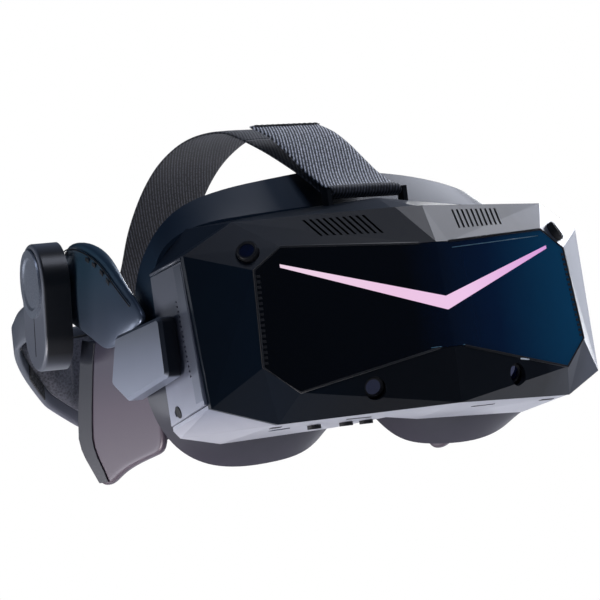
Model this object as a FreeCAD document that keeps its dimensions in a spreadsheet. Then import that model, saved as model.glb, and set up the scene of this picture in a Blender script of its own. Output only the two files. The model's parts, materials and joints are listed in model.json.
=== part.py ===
import FreeCAD, Part
import os
from math import cos, pi, radians, sin
from FreeCAD import Placement, Rotation, Vector

# Virtual reality headset: wide faceted visor, tilting side arms, sliding rear cradle,
# swivelling off-ear headphones and a webbing strap over the top.
# Millimetres. X is across the wearer's face, Y runs from the front to the back of the
# head, Z is up. While the pieces are modelled, Y is counted from the tip of the visor's
# front and Z from the plane that the headset rests on. Every sub-part is then moved
# by -middle_y, so that the origin lies under the middle of the whole headset.

doc = FreeCAD.newDocument("VrHeadset")
sheet = doc.addObject("Spreadsheet::Sheet", "Sizes")

SIZES = {
    # whole headset
    "middle_y": 186.5,
    # visor
    "visor_half_width": 139.0,
    "panel_wall": 2.2,
    "bezel_wall": 3.0,
    "seam": 0.3,
    "front_set_back": -2.1,
    "front_sweep": 0.23,
    "front_lean": 0.09,
    "optics_z": 84.0,
    "glass_wall": 2.5,
    "chevron_wall": 0.6,
    "side_back_y": 88.0,
    # face shroud
    "shroud_front_y": 88.4,
    "shroud_rear_y": 108.0,
    "shroud_wall": 3.0,
    "face_half_width": 80.0,
    "face_half_height": 48.0,
    "cushion_width": 17.0,
    "cushion_depth": 16.0,
    # optics
    "eye_half_distance": 32.5,
    "barrel_radius": 26.0,
    "barrel_front_y": 41.0,
    "barrel_rear_y": 78.0,
    "lens_radius": 24.0,
    "display_side": 44.0,
    "rod_radius": 1.5,
    "screw_radius": 2.5,
    "running_gap": 0.05,
    "rod_z": 114.0,
    "screw_z": 54.0,
    "rod_y": 50.0,
    "rod_span": 132.0,
    "chassis_y": 55.0,
    "chassis_wall": 2.5,
    # tracking cameras
    "camera_radius": 6.2,
    "camera_depth": 11.0,
    "camera_lens_radius": 4.4,
    # electronics
    "board_y": 29.0,
    "board_wall": 1.6,
    "board_width": 124.0,
    "fan_radius": 15.0,
    "fan_side": 38.0,
    "fan_y": 27.0,
    "fan_z": 112.0,
    "button_radius": 4.0,
    "button_travel": 1.2,
    # hinge blocks and arms
    "pivot_y": 78.0,
    "pivot_z": 68.0,
    "pin_radius": 4.0,
    "pin_start_x": 132.0,
    "pin_end_x": 146.8,
    "block_inner_x": 141.0,
    "block_outer_x": 151.0,
    "wing_inner_x": 119.0,
    "wing_outer_x": 124.0,
    # headphones
    "pod_x": 152.0,
    "pod_y": 206.0,
    "pod_z": 124.5,
    "pod_turn": 12.9,
    "pod_lean": 12.0,
    "pod_radius": 24.0,
    "pod_reach": 29.0,
    "pod_depth": 17.0,
    "cap_radius": 20.5,
    # cradle
    "cradle_half_width": 121.0,
    "cradle_centre_y": 250.0,
    "cradle_reach": 105.0,
    "cradle_power": 3.5,
    "cradle_wall": 3.6,
    "dial_radius": 19.0,
    "dial_z": 78.0,
    "pinion_radius": 6.0,
    # strap
    "strap_width": 49.0,
    "strap_wall": 2.2,
}
for row, (alias, value) in enumerate(SIZES.items(), start=1):
    sheet.set("A%d" % row, alias.replace("_", " "))
    sheet.set("B%d" % row, str(value))
    sheet.setAlias("B%d" % row, alias)
doc.recompute()

subparts = []


def size(alias):
    return float(getattr(sheet, alias))


working_y = {}


def finish(obj, label):
    """Names a sub-part and moves it from the working datum to the row's origin."""
    obj.Label = label
    obj.setExpression(".Placement.Base.y", "%s - Sizes.middle_y" % working_y.get(obj.Name, "0"))
    subparts.append(obj)
    return obj


def bind(obj, **cells):
    for prop, expression in cells.items():
        obj.setExpression(prop, expression)


def placed(obj, x, y, z):
    working_y[obj.Name] = "(%s)" % y
    for axis, expression in zip("xyz", (x, y, z)):
        obj.setExpression(".Placement.Base." + axis, str(expression))
    return obj


def box(name, x, y, z, length, width, height):
    obj = doc.addObject("Part::Box", name)
    bind(obj, Length=str(length), Width=str(width), Height=str(height))
    return placed(obj, x, y, z)


AXIS_TURN = {
    "X": Rotation(Vector(0, 1, 0), 90),
    "Y": Rotation(Vector(1, 0, 0), -90),
    "Z": Rotation(),
}


def cylinder(name, axis, x, y, z, radius, height):
    obj = doc.addObject("Part::Cylinder", name)
    obj.Placement = Placement(Vector(), AXIS_TURN[axis])
    bind(obj, Radius=str(radius), Height=str(height))
    return placed(obj, x, y, z)


def cut(name, base, tool):
    obj = doc.addObject("Part::Cut", name)
    obj.Base = base
    obj.Tool = tool
    return obj


def feature(label, shape):
    obj = doc.addObject("Part::Feature", label)
    if not shape.Placement.isIdentity():
        moved = shape.Placement.toMatrix()
        shape.Placement = Placement()
        shape = shape.transformed(moved, copy=True)
    obj.Shape = shape
    return finish(obj, label)


def prism(points, axis, start, depth):
    """A flat polygon, given by its two in-plane coordinates, pushed along an axis."""
    order = {"X": lambda a, b: Vector(start, a, b),
             "Y": lambda a, b: Vector(a, start, b),
             "Z": lambda a, b: Vector(a, b, start)}[axis]
    way = {"X": Vector(depth, 0, 0), "Y": Vector(0, depth, 0), "Z": Vector(0, 0, depth)}[axis]
    corners = [order(a, b) for a, b in points]
    return Part.Face(Part.makePolygon(corners + corners[:1])).extrude(way)


def mirrored(points):
    """A right-hand point list followed by its mirror image, for a closed outline."""
    left = [(-x, z) for x, z in reversed(points) if abs(x) > 1e-6]
    return points + left


def plate(corners, triangles, offset):
    """A thin solid: a patch of triangles and the same patch moved by offset."""
    front = [Vector(*corner) for corner in corners]
    back = [corner + offset for corner in front]
    faces = []
    count = {}
    for a, b, c in triangles:
        faces.append(Part.Face(Part.makePolygon([front[a], front[b], front[c], front[a]])))
        faces.append(Part.Face(Part.makePolygon([back[a], back[b], back[c], back[a]])))
        for edge in ((a, b), (b, c), (c, a)):
            key = tuple(sorted(edge))
            count[key] = count.get(key, 0) + 1
    for (a, b), used in count.items():
        if used == 1:
            rim = [front[a], front[b], back[b], back[a], front[a]]
            faces.append(Part.Face(Part.makePolygon(rim)))
    solid = Part.Solid(Part.Shell(faces))
    if solid.Volume < 0:
        solid.reverse()
    return solid.removeSplitter()


def both_sides(points):
    """Mirrors a list of right-hand 3-D corners, leaving those on the middle plane alone."""
    return points + [(-x, y, z) for x, y, z in points if abs(x) > 1e-6]


def front_y(x, z):
    """The swept and leaning plane that the front glass lies in."""
    lean = size("front_lean") * (z - size("optics_z"))
    return size("front_set_back") + size("front_sweep") * abs(x) + lean


# ---------------------------------------------------------------- visor front

glass_corners = {
    "top_middle": (10.5, 114.3),
    "top_outer": (91.6, 119.4),
    "side_upper": (108.9, 107.4),
    "side_lower": (112.8, 52.6),
    "bottom_outer": (94.0, 36.5),
    "bottom_middle": (8.9, 53.4),
}
rim_corners = {
    "top_middle": (9.6, 23.4, 138.0),
    "top_outer": (109.0, 42.7, 137.0),
    "side_upper": (139.0, 49.4, 120.3),
    "side_lower": (137.0, 41.6, 33.4),
    "bottom_outer": (102.7, 28.2, 20.4),
    "bottom_middle": (0.0, -5.0, 21.4),
}


def half_bezel(side):
    """Six facets between the glass and the rim of one wing, with the strip to the middle."""
    inner = [(side * x, front_y(x, z), z) for x, z in glass_corners.values()]
    outer = [(side * x, y, z) for x, y, z in rim_corners.values()]
    corners = inner + outer
    triangles = []
    for i in range(5):
        triangles += [(i, i + 1, i + 7), (i, i + 7, i + 6)]
    top_in = (0.0, front_y(0, 114.3), 114.3)
    top_out = (0.0, 23.4, 138.0)
    bottom_in = (0.0, front_y(0, 53.4), 53.4)
    corners += [top_in, top_out, bottom_in]
    triangles += [(12, 0, 6), (12, 6, 13), (14, 5, 11)]
    return plate(corners, triangles, Vector(0, size("bezel_wall"), 0))


def camera_spots():
    """Centre and outward direction of each tracking camera on the front facets."""
    spots = []
    for side in (1, -1):
        spots.append((Vector(side * 109.3, 29.3, 119.0), Vector(side * 0.62, -0.62, 0.48)))
        spots.append((Vector(side * 49.1, 9.7, 35.6), Vector(side * 0.25, -0.92, -0.30)))
    return [(spot, way.normalize()) for spot, way in spots]


def front_bezel():
    shape = half_bezel(1).fuse(half_bezel(-1)).removeSplitter()
    for spot, way in camera_spots():
        hole = Part.makeCylinder(size("camera_radius") + 0.3, 30, spot - way * 15, way)
        shape = shape.cut(hole)
    shape = shape.cut(Part.makeCompound(vent_slots(1) + vent_slots(-1)))
    return feature("front_bezel", shape)


def front_glass():
    def shrunk(x, z):
        gap = size("seam")
        centre_x = 55.0
        x_in = x - gap if x > centre_x else x
        z_in = z - gap if z > size("optics_z") else z + gap
        return (x_in, front_y(x_in, z_in), z_in)
    half = [shrunk(x, z) for x, z in glass_corners.values()]
    wings = []
    for side in (1, -1):
        corners = [(side * x, y, z) for x, y, z in half]
        top_z = half[0][2]
        bottom_z = half[5][2]
        corners += [(0.0, front_y(0, top_z), top_z), (0.0, front_y(0, bottom_z), bottom_z)]
        ring = [6, 0, 1, 2, 3, 4, 5, 7]
        triangles = [(ring[0], ring[i], ring[i + 1]) for i in range(1, 7)]
        wings.append(plate(corners, triangles, Vector(0, size("glass_wall"), 0)))
    return feature("front_glass", wings[0].fuse(wings[1]).removeSplitter())


def light_chevron():
    """Tapered V light that lies on the glass, wide at the middle."""
    proud = size("chevron_wall")
    arms = []
    for side in (1, -1):
        outline = [(0.0, 82.6), (93.6, 109.4), (93.6, 107.6), (0.0, 74.8)]
        corners = [(side * x, front_y(x, z), z) for x, z in outline]
        arms.append(plate(corners, [(0, 1, 2), (0, 2, 3)], Vector(0, -proud, 0)))
    return feature("light_chevron", arms[0].fuse(arms[1]).removeSplitter())


# ---------------------------------------------------------------- visor shells

def top_shell():
    return feature("top_shell", crown_patch(size("panel_wall")))


def crown_patch(wall):
    """The faceted roof of the visor, as thick downwards as wall says."""
    back = size("bezel_wall") + 0.2
    rear = size("side_back_y")
    corners = both_sides([
        (0.0, 23.4 + back, 138.0),
        (9.6, 23.4 + back, 138.0),
        (109.0, 42.7 + back, 137.0),
        (139.0, 49.4 + back, 120.3),
        (139.0, rear, 115.2),
        (112.0, rear, 139.5),
        (60.0, rear, 145.0),
        (0.0, rear, 150.0),
        (0.0, 54.0, 147.3),
        (58.0, 50.0, 139.6),
    ])
    # right-hand corners are 0-9, their mirror images 10 and up
    right = [(0, 1, 8), (1, 9, 8), (1, 2, 9), (2, 5, 9), (9, 5, 6), (9, 6, 8), (8, 6, 7),
             (2, 3, 4), (2, 4, 5)]
    swap = {0: 0, 8: 8, 7: 7, 1: 10, 2: 11, 3: 12, 4: 13, 5: 14, 6: 15, 9: 16}
    left = [tuple(swap[i] for i in tri) for tri in right]
    return plate(corners, right + left, Vector(0, 0, -wall))


def upper_facet(x, share):
    """A point of the upper front facet, share 0 at the glass and 1 at the rim."""
    glass_z = 114.3 + (x - 10.5) * 0.063
    low = Vector(x, front_y(x, glass_z), glass_z)
    high = Vector(x, 23.4 + (x - 9.6) * 0.194, 138.0 - (x - 9.6) * 0.01)
    return low + (high - low) * share


def vent_slots(side):
    """Slanted ventilation slots through the upper front facet."""
    half_slot = Vector(0.8, 0, 0)
    slots = []
    for i in range(10):
        x = 31.5 + i * 4.0
        upper = upper_facet(x, 0.86)
        lower = upper_facet(x - 4.4, 0.32)
        ring = [upper - half_slot, upper + half_slot, lower + half_slot, lower - half_slot]
        ring = [Vector(side * p.x, p.y, p.z) for p in ring]
        slab = Part.Face(Part.makePolygon(ring + ring[:1])).extrude(Vector(0, 16, 0))
        slab.translate(Vector(0, -8, 0))
        slots.append(slab)
    return slots


def bottom_shell():
    back = size("bezel_wall") + 0.2
    rear = size("side_back_y") - 4
    corners = both_sides([
        (0.0, -5.0 + back, 21.4),
        (102.7, 28.2 + back, 20.4),
        (137.0, 41.6 + back, 33.4),
        (138.0, rear, 24.5),
        (134.0, rear, 20.0),
        (108.0, rear, 14.5),
        (30.0, rear, 17.0),
        (0.0, rear, 21.0),
    ])
    right = [(0, 1, 6), (0, 6, 7), (1, 5, 6), (1, 4, 5), (1, 2, 4), (2, 3, 4)]
    swap = {0: 0, 7: 7, 1: 8, 2: 9, 3: 10, 4: 11, 5: 12, 6: 13}
    left = [tuple(swap[i] for i in tri) for tri in right]
    shape = plate(corners, right + left, Vector(0, 0, size("panel_wall")))
    for hole in (usb_hole(), button_hole(-62.0), button_hole(-40.0), button_hole(-26.0)):
        shape = shape.cut(hole)
    return feature("bottom_shell", shape)


def usb_hole():
    return Part.makeBox(12.4, 5.4, 30, Vector(-92.2, 52.3, 5))


def button_hole(x):
    return Part.makeCylinder(size("button_radius") + 0.15, 30, Vector(x, 55.0, 5))


def side_panel(side):
    inset = size("panel_wall")
    outer = size("visor_half_width")
    back = size("bezel_wall") + 0.2
    rear = size("side_back_y")
    drop = size("panel_wall") + 0.2
    outline = [(49.4 + back, 120.3 - drop - 0.3), (rear, 115.2 - drop), (rear - 2, 60.0),
               (rear - 4.2, 27.2), (41.6 + back + 0.3, 36.1)]
    shape = prism(outline, "X", side * outer, -side * inset)
    for i in range(16):
        z = 96.0 - i * 2.85
        y = 62.6 - i * 0.42
        dot = Part.makeCylinder(0.7, 8, Vector(side * (outer - 5), y, z), Vector(side, 0, 0))
        shape = shape.cut(dot)
    jack_radius = 4.2 if side > 0 else 2.4
    jack = Part.makeCylinder(jack_radius, 20, Vector(side * (outer - 10), 76.0, 34.5), Vector(side, 0, 0))
    shape = shape.cut(jack).cut(pivot_pin(side, size("pin_radius") + 0.2, 120.0, 150.0))
    return feature("side_panel_" + ("left" if side > 0 else "right"), shape)


# ---------------------------------------------------------------- chassis and optics

def origin_plane(body, role):
    return [plane for plane in body.Origin.OriginFeatures if plane.Role == role][0]


def sketch_on(body, name, role):
    sketch = body.newObject("Sketcher::SketchObject", name)
    sketch.AttachmentSupport = (origin_plane(body, role), "")
    sketch.MapMode = "FlatFace"
    return sketch


def draw_outline(sketch, points):
    for a, b in zip(points, points[1:] + points[:1]):
        sketch.addGeometry(Part.LineSegment(Vector(a[0], a[1], 0), Vector(b[0], b[1], 0)), False)


def draw_circle(sketch, x, y, radius):
    sketch.addGeometry(Part.Circle(Vector(x, y, 0), Vector(0, 0, 1), radius), False)


def chassis_frame():
    """Cast plate across the visor with two windows that the lens barrels slide in."""
    body = doc.addObject("PartDesign::Body", "ChassisBody")
    outline = mirrored([(0.0, 133.0), (104.0, 131.0), (131.0, 112.0), (131.0, 40.0), (98.0, 27.0),
                        (0.0, 26.0)])
    sketch = sketch_on(body, "ChassisOutline", "XZ_Plane")
    draw_outline(sketch, outline)
    window_x = size("eye_half_distance")
    half_width = size("barrel_radius") + 4.5
    half_height = size("barrel_radius") + 2.0
    centre_z = size("optics_z")
    inner_x = 2.0
    pad = body.newObject("PartDesign::Pad", "ChassisPad")
    pad.Profile = sketch
    bind(pad, Length="Sizes.chassis_wall")
    windows = sketch_on(body, "ChassisWindows", "XZ_Plane")
    for side in (1, -1):
        left = side * (window_x + half_width)
        draw_outline(windows, [(side * inner_x, centre_z - half_height), (left, centre_z - half_height),
                               (left, centre_z + half_height), (side * inner_x, centre_z + half_height)])
    doc.recompute()
    full = pad.Shape.Volume
    pocket = body.newObject("PartDesign::Pocket", "ChassisPocket")
    pocket.Profile = windows
    pocket.Type = "ThroughAll"
    pocket.Midplane = True
    doc.recompute()
    if pocket.Shape.Volume > full - 100:
        raise RuntimeError("the chassis windows were not cut")
    plate_copy = doc.addObject("Part::Feature", "ChassisPlate")
    plate_shape = body.Shape.copy()
    plate_shape.translate(Vector(0, size("chassis_y") - plate_shape.BoundBox.YMin, 0))
    # lugs that hold the guide rod and carry the lead screw
    lug_x = size("rod_span") / 2
    for x in (-lug_x, lug_x):
        for z in (size("rod_z"), size("screw_z")):
            reach = size("chassis_y") - size("rod_y") + 5.0
            lug = Part.makeBox(4, reach, 10, Vector(x - 2, size("rod_y") - 5, z - 5))
            plate_shape = plate_shape.fuse(lug)
    across = Vector(1, 0, 0)
    rod = Part.makeCylinder(size("rod_radius"), 200, Vector(-100, size("rod_y"), size("rod_z")), across)
    screw = Part.makeCylinder(size("screw_radius") + size("running_gap"), 200,
                              Vector(-100, size("rod_y"), size("screw_z")), across)
    plate_copy.Shape = plate_shape.cut(rod).cut(screw).removeSplitter()
    return finish(plate_copy, "chassis_frame")


def guide_rod():
    rod = cylinder("GuideRod", "X", "-Sizes.rod_span / 2 - 4", "Sizes.rod_y", "Sizes.rod_z",
                   "Sizes.rod_radius", "Sizes.rod_span + 8")
    return finish(rod, "guide_rod")


def lead_screw():
    """Screw with a right-hand and a left-hand half that spreads the two barrels."""
    screw = cylinder("LeadScrew", "X", "-Sizes.rod_span / 2 - 3", "Sizes.rod_y", "Sizes.screw_z",
                     "Sizes.screw_radius", "Sizes.rod_span + 13")
    return finish(screw, "lead_screw")


def spacing_motor():
    start = "Sizes.rod_span / 2 + 2.5"
    can = cylinder("MotorCan", "X", start, "Sizes.rod_y", "Sizes.screw_z", 4.8, 20)
    bore = cylinder("MotorBore", "X", "Sizes.rod_span / 2 + 2", "Sizes.rod_y", "Sizes.screw_z",
                    "Sizes.screw_radius + Sizes.running_gap", 9)
    return finish(cut("SpacingMotor", can, bore), "spacing_motor")


def barrel(side):
    """Lens barrel, turned on a lathe, with a lug for the rod and a nut for the screw."""
    radius = size("barrel_radius")
    front = size("barrel_front_y")
    rear = size("barrel_rear_y")
    x = side * size("eye_half_distance")
    z = size("optics_z")
    seat = size("lens_radius") + 0.1
    profile = [(13.0, front), (radius - 1, front), (radius, front + 1), (radius, rear - 1),
               (radius - 1, rear), (seat, rear), (seat, rear - 6), (radius - 4, rear - 6),
               (13.0, front + 3)]
    corners = [Vector(r, y, 0) for r, y in profile]
    tube = Part.Face(Part.makePolygon(corners + corners[:1])).revolve(Vector(), Vector(0, 1, 0), 360)
    tube.translate(Vector(x, 0, z))
    rod_z = size("rod_z")
    screw_z = size("screw_z")
    rod_y = size("rod_y")
    gap = size("running_gap")
    lug = Part.makeBox(14, 8, rod_z + 4 - z - radius + 6, Vector(x - 7, rod_y - 4, z + radius - 6))
    screw_lug = Part.makeBox(14, 8, 14, Vector(x - 7, rod_y - 4, screw_z - 5))
    core = Part.makeCylinder(radius - 4.5, 80, Vector(x, front - 10, z), Vector(0, 1, 0))
    lugs = lug.fuse(screw_lug).cut(core)
    across = Vector(1, 0, 0)
    shape = tube.fuse(lugs)
    for bore_radius, bore_z in ((size("rod_radius"), rod_z), (size("screw_radius"), screw_z)):
        start = Vector(x - 30, rod_y, bore_z)
        shape = shape.cut(Part.makeCylinder(bore_radius + gap, 60, start, across))
    return feature("lens_barrel_" + side_word(side), shape.removeSplitter())


def side_word(side):
    """The wearer's right hand is on the -X side."""
    return "left" if side > 0 else "right"


def lens(side):
    """Thick lens with a crowned face towards the eye."""
    radius = size("lens_radius")
    rear = size("barrel_rear_y")
    x = side * size("eye_half_distance")
    z = size("optics_z")
    ball_radius = 90.0
    ball = Part.makeSphere(ball_radius, Vector(x, rear + 4.0 - ball_radius, z))
    crown = Part.makeCylinder(radius, 12, Vector(x, rear - 5.8, z), Vector(0, 1, 0)).common(ball)
    return feature("lens_" + side_word(side), crown)


def display(side):
    x = "%d * Sizes.eye_half_distance - Sizes.display_side / 2" % side
    panel = box("Display" + side_word(side), x, "Sizes.barrel_front_y - 2.6",
                "Sizes.optics_z - Sizes.display_side / 2", "Sizes.display_side", 2.6, "Sizes.display_side")
    return finish(panel, "display_" + side_word(side))


# ---------------------------------------------------------------- electronics

def main_board():
    board = box("BoardPlate", "-Sizes.board_width / 2", "Sizes.board_y", 52, "Sizes.board_width",
                "Sizes.board_wall", 38)
    return finish(board, "main_board")


def heat_sink():
    """Finned block on the front of the board."""
    base = Part.makeBox(56, 3, 34, Vector(-28, size("board_y") - 3, 54))
    for i in range(9):
        base = base.fuse(Part.makeBox(1.4, 9, 34, Vector(-28 + i * 6.825, size("board_y") - 12, 54)))
    return feature("heat_sink", base.removeSplitter())


def fan_housing():
    side = size("fan_side")
    y = size("fan_y")
    z = size("fan_z")
    shape = Part.makeBox(side, 8, side - 2, Vector(-side / 2, y, z - side / 2 + 1))
    along = Vector(0, 1, 0)
    well = Part.makeCylinder(size("fan_radius") + 1, 10, Vector(0, y + 1.6, z), along)
    mouth = Part.makeCylinder(size("fan_radius") - 2, 10, Vector(0, y - 2, z), along)
    bridge = Part.makeBox(side - 2, 1.6, 7, Vector(-side / 2 + 1, y, z - 3.5))
    post = Part.makeCylinder(1.5, 5.5, Vector(0, y + 0.8, z), along)
    shape = shape.cut(well).cut(mouth).fuse(bridge).fuse(post)
    return feature("fan_housing", shape.removeSplitter())


def fan_rotor():
    y = size("fan_y") + 2.0
    z = size("fan_z")
    along = Vector(0, 1, 0)
    shape = Part.makeCylinder(6, 5, Vector(0, y, z), along)
    for i in range(9):
        blade = Part.makeBox(size("fan_radius") - 5, 0.8, 5, Vector(5.0, 0, -2.5))
        blade.rotate(Vector(), Vector(1, 0, 0), 50)
        blade.translate(Vector(0, y + 2.5, 0))
        blade.rotate(Vector(), along, i * 40)
        blade.translate(Vector(0, 0, z))
        shape = shape.fuse(blade)
    shape = shape.cut(Part.makeCylinder(1.5 + size("running_gap"), 20, Vector(0, y - 5, z), along))
    return feature("fan_rotor", shape.removeSplitter())


def usb_socket():
    shell = Part.makeBox(12.0, 5.0, 8, Vector(-92.0, 52.5, 18.3))
    mouth = Part.makeBox(9.0, 2.8, 7, Vector(-90.5, 53.6, 17.3))
    return feature("usb_socket", shell.cut(mouth))


def button(label, x):
    """Round button that is pressed up into the underside."""
    top = cylinder(label.title().replace("_", ""), "Z", x, 55, 16.6, "Sizes.button_radius", 7)
    return finish(top, label)


def audio_jack():
    """3.5 mm jack socket in the wearer's left side, its bore open to the side."""
    outer = size("visor_half_width")
    body_block = Part.makeBox(14.7, 9.0, 8.4, Vector(outer - 17.0, 71.5, 30.3))
    nose = Part.makeCylinder(3.9, 2.4, Vector(outer - 2.4, 76.0, 34.5), Vector(1, 0, 0))
    bore = Part.makeCylinder(1.78, 14.0, Vector(outer - 14.0, 76.0, 34.5), Vector(1, 0, 0))
    return feature("audio_jack", body_block.fuse(nose).cut(bore).removeSplitter())


def microphone():
    disc = cylinder("MicrophoneCan", "X", "-Sizes.visor_half_width + 2.4", 76, 34.5, 4, 3)
    return finish(disc, "microphone")


def camera_group(radius, start, depth):
    shape = None
    for spot, way in camera_spots():
        barrel_part = Part.makeCylinder(radius, depth, spot + way * start, way)
        shape = barrel_part if shape is None else shape.fuse(barrel_part)
    return shape


def tracking_cameras():
    outer = camera_group(size("camera_radius"), -size("camera_depth") + 0.6, size("camera_depth"))
    inner = camera_group(size("camera_lens_radius") + 0.02, -1.6, 4)
    return feature("tracking_camera_barrels", outer.cut(inner))


def tracking_lenses():
    return feature("tracking_camera_lenses", camera_group(size("camera_lens_radius"), -1.6, 1.8))


# ---------------------------------------------------------------- face shroud and cushion

# right-hand half of the shroud's outlines, from the top middle round to the bottom middle
SHROUD_FRONT = [(0.0, 149.0), (35.0, 148.0), (75.0, 145.0), (112.0, 138.5), (130.0, 127.0), (136.5, 113.0),
                (138.0, 92.0), (138.0, 66.0), (136.5, 42.0), (131.0, 24.5), (108.0, 17.5), (84.0, 17.5),
                (60.0, 18.5), (30.0, 20.5), (16.0, 27.0), (0.0, 34.0)]
SHROUD_REAR = [(0.0, 171.5), (30.0, 169.5), (81.0, 161.5), (108.0, 151.0), (130.0, 128.0), (138.2, 108.0),
               (140.0, 88.0), (140.2, 66.0), (137.6, 42.0), (122.0, 15.0), (105.0, 5.0), (84.0, 1.0),
               (60.0, 1.4), (36.0, 6.0), (20.0, 17.0), (0.0, 33.0)]


def ring_wire(points, y, shrink=0.0):
    """Closed smooth wire through a mirrored outline, drawn in towards the middle by shrink."""
    middle = Vector(0, y, 80)
    nodes = []
    for x, z in mirrored(points):
        spoke = Vector(x, y, z) - middle
        nodes.append(middle + spoke * (1 - shrink / spoke.Length))
    curve = Part.BSplineCurve()
    curve.interpolate(nodes, PeriodicFlag=True)
    return Part.Wire(curve.toShape())


def oval_wire(half_width, half_height, y, power=2.6, steps=28):
    nodes = []
    for i in range(steps):
        angle = 2 * pi * i / steps
        c = cos(angle)
        s = sin(angle)
        x = half_width * abs(c) ** (2 / power) * (1 if c >= 0 else -1)
        z = half_height * abs(s) ** (2 / power) * (1 if s >= 0 else -1)
        nodes.append(Vector(x, y, z + size("optics_z") + 2))
    curve = Part.BSplineCurve()
    curve.interpolate(nodes, PeriodicFlag=True)
    return Part.Wire(curve.toShape())


def tunnel(half_width, half_height, start, end):
    return Part.Face(oval_wire(half_width, half_height, start)).extrude(Vector(0, end - start, 0))


def face_shroud():
    return feature("face_shroud", shroud_shape())


def shroud_shape():
    """Flared ring behind the visor with a flat rear wall that opens for the face."""
    front = size("shroud_front_y")
    rear = size("shroud_rear_y")
    wall = size("shroud_wall")
    outer = Part.makeLoft([ring_wire(SHROUD_FRONT, front), ring_wire(SHROUD_REAR, rear)], True)
    inner = Part.makeLoft([ring_wire(SHROUD_FRONT, front - 0.1, wall),
                           ring_wire(SHROUD_REAR, rear - wall, wall + 1.5)], True)
    opening = tunnel(size("face_half_width"), size("face_half_height"), front - 5, rear + 5)
    return outer.cut(inner).cut(opening).cut(nose_wedge(14.0))


def nose_wedge(half_width):
    points = [(-half_width, -10.0), (half_width, -10.0), (half_width * 0.55, 52.0),
              (-half_width * 0.55, 52.0)]
    return prism(points, "Y", 60, 100)


def face_cushion():
    """Padded ring for the face, open at the nose."""
    start = size("shroud_rear_y") + 0.1
    depth = size("cushion_depth")
    width = size("cushion_width")
    across = size("face_half_width") - 1
    up = size("face_half_height") - 1
    outer = tunnel(across + width, up + width, start, start + depth)
    inner = tunnel(across, up, start - 5, start + depth + 5)
    return feature("face_cushion", outer.cut(inner).cut(nose_wedge(17.0)))


def nose_flap():
    """Rubber flap that closes the gap over the nose."""
    points = [(-13.0, 34.0), (13.0, 34.0), (9.0, 52.0), (-9.0, 52.0)]
    low = size("shroud_rear_y") - 16
    return feature("nose_flap", prism(points, "Y", low, 1.6).cut(shroud_shape()))


# ---------------------------------------------------------------- hinge blocks and side arms

def hinge_block(side):
    """Rounded outer block that the visor tilts in."""
    outline = [(63.4, 89.1), (116.8, 83.1), (127.1, 56.1), (110.5, 44.9), (62.4, 54.6)]
    inner = size("block_inner_x")
    depth = size("block_outer_x") - inner
    shape = prism(outline, "X", side * inner, side * depth)
    upright = [edge for edge in shape.Edges
               if abs(abs(edge.Vertexes[0].X) - abs(edge.Vertexes[1].X)) > 1]
    shape = shape.makeFillet(4.0, upright)
    outer_edges = [edge for edge in shape.Edges
                   if min(abs(v.X) for v in edge.Vertexes) > size("block_outer_x") - 0.01]
    shape = shape.makeChamfer(2.0, outer_edges)
    pin_hole = pivot_pin(side, size("pin_radius") + size("running_gap"), inner - 1, size("pin_end_x") + 0.4)
    return shape.cut(pin_hole)


def pivot_pin(side, radius, start_x, end_x):
    start = Vector(side * start_x, size("pivot_y"), size("pivot_z"))
    return Part.makeCylinder(radius, end_x - start_x, start, Vector(side, 0, 0))


def both(maker):
    """The same piece on both sides, as one group of separate solids."""
    return Part.makeCompound([maker(1), maker(-1)])


def hinge_pins():
    """Pins fixed in the visor's sides, on which the blocks turn."""
    ends = size("pin_start_x"), size("pin_end_x")
    return feature("hinge_pins", both(lambda side: pivot_pin(side, size("pin_radius"), *ends)))


def hinge_brackets():
    """Metal ears inside the visor's side panels that hold the hinge pins."""
    outline = [(62.0, 58.0), (62.0, 78.0), (86.0, 80.0), (86.0, 56.0)]

    def ear(side):
        slab = prism(outline, "X", side * 133.5, side * 3.2)
        return slab.cut(pivot_pin(side, size("pin_radius"), 120.0, 150.0))
    return feature("hinge_brackets", both(ear))


def arm_station(upper, lower, inner_x, side):
    """One cross-section of the arm: two outer corners (x, y, z) and two on its inner face."""
    return [Vector(side * upper[0], upper[1], upper[2]), Vector(side * lower[0], lower[1], lower[2]),
            Vector(side * inner_x, lower[1], lower[2]), Vector(side * inner_x, upper[1], upper[2])]


ARM_STATIONS = [
    ((147.0, 86.0, 88.0), (146.0, 106.0, 82.0), 141.0),
    ((146.0, 98.4, 100.0), (144.5, 130.0, 77.0), 141.0),
    ((144.0, 116.0, 114.5), (141.5, 147.0, 77.5), 138.5),
    ((140.5, 137.0, 130.0), (137.5, 163.0, 84.0), 130.0),
    ((137.0, 160.0, 140.0), (134.5, 183.0, 92.0), 125.0),
    ((133.5, 183.0, 145.5), (132.0, 203.0, 100.0), 123.0),
    ((129.0, 203.0, 144.0), (128.0, 213.0, 103.0), 119.2),
    ((121.5, 221.0, 131.0), (121.0, 228.0, 102.0), 114.5),
    ((114.2, 237.5, 119.0), (114.2, 237.5, 101.0), 110.8),
    ((114.2, 276.0, 117.0), (114.2, 276.0, 101.0), 110.8),
]


def side_arm(side):
    """Curved shield from the hinge block to the thin tail that the cradle slides on."""
    return feature("side_arm_" + side_word(side), arm_shape(side))


def arm_shape(side):
    wires = []
    for upper, lower, inner_x in ARM_STATIONS:
        ring = arm_station(upper, lower, inner_x, side)
        wires.append(Part.makePolygon(ring + ring[:1]))
    return Part.makeLoft(wires, True, True).cut(hinge_block(side))


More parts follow.
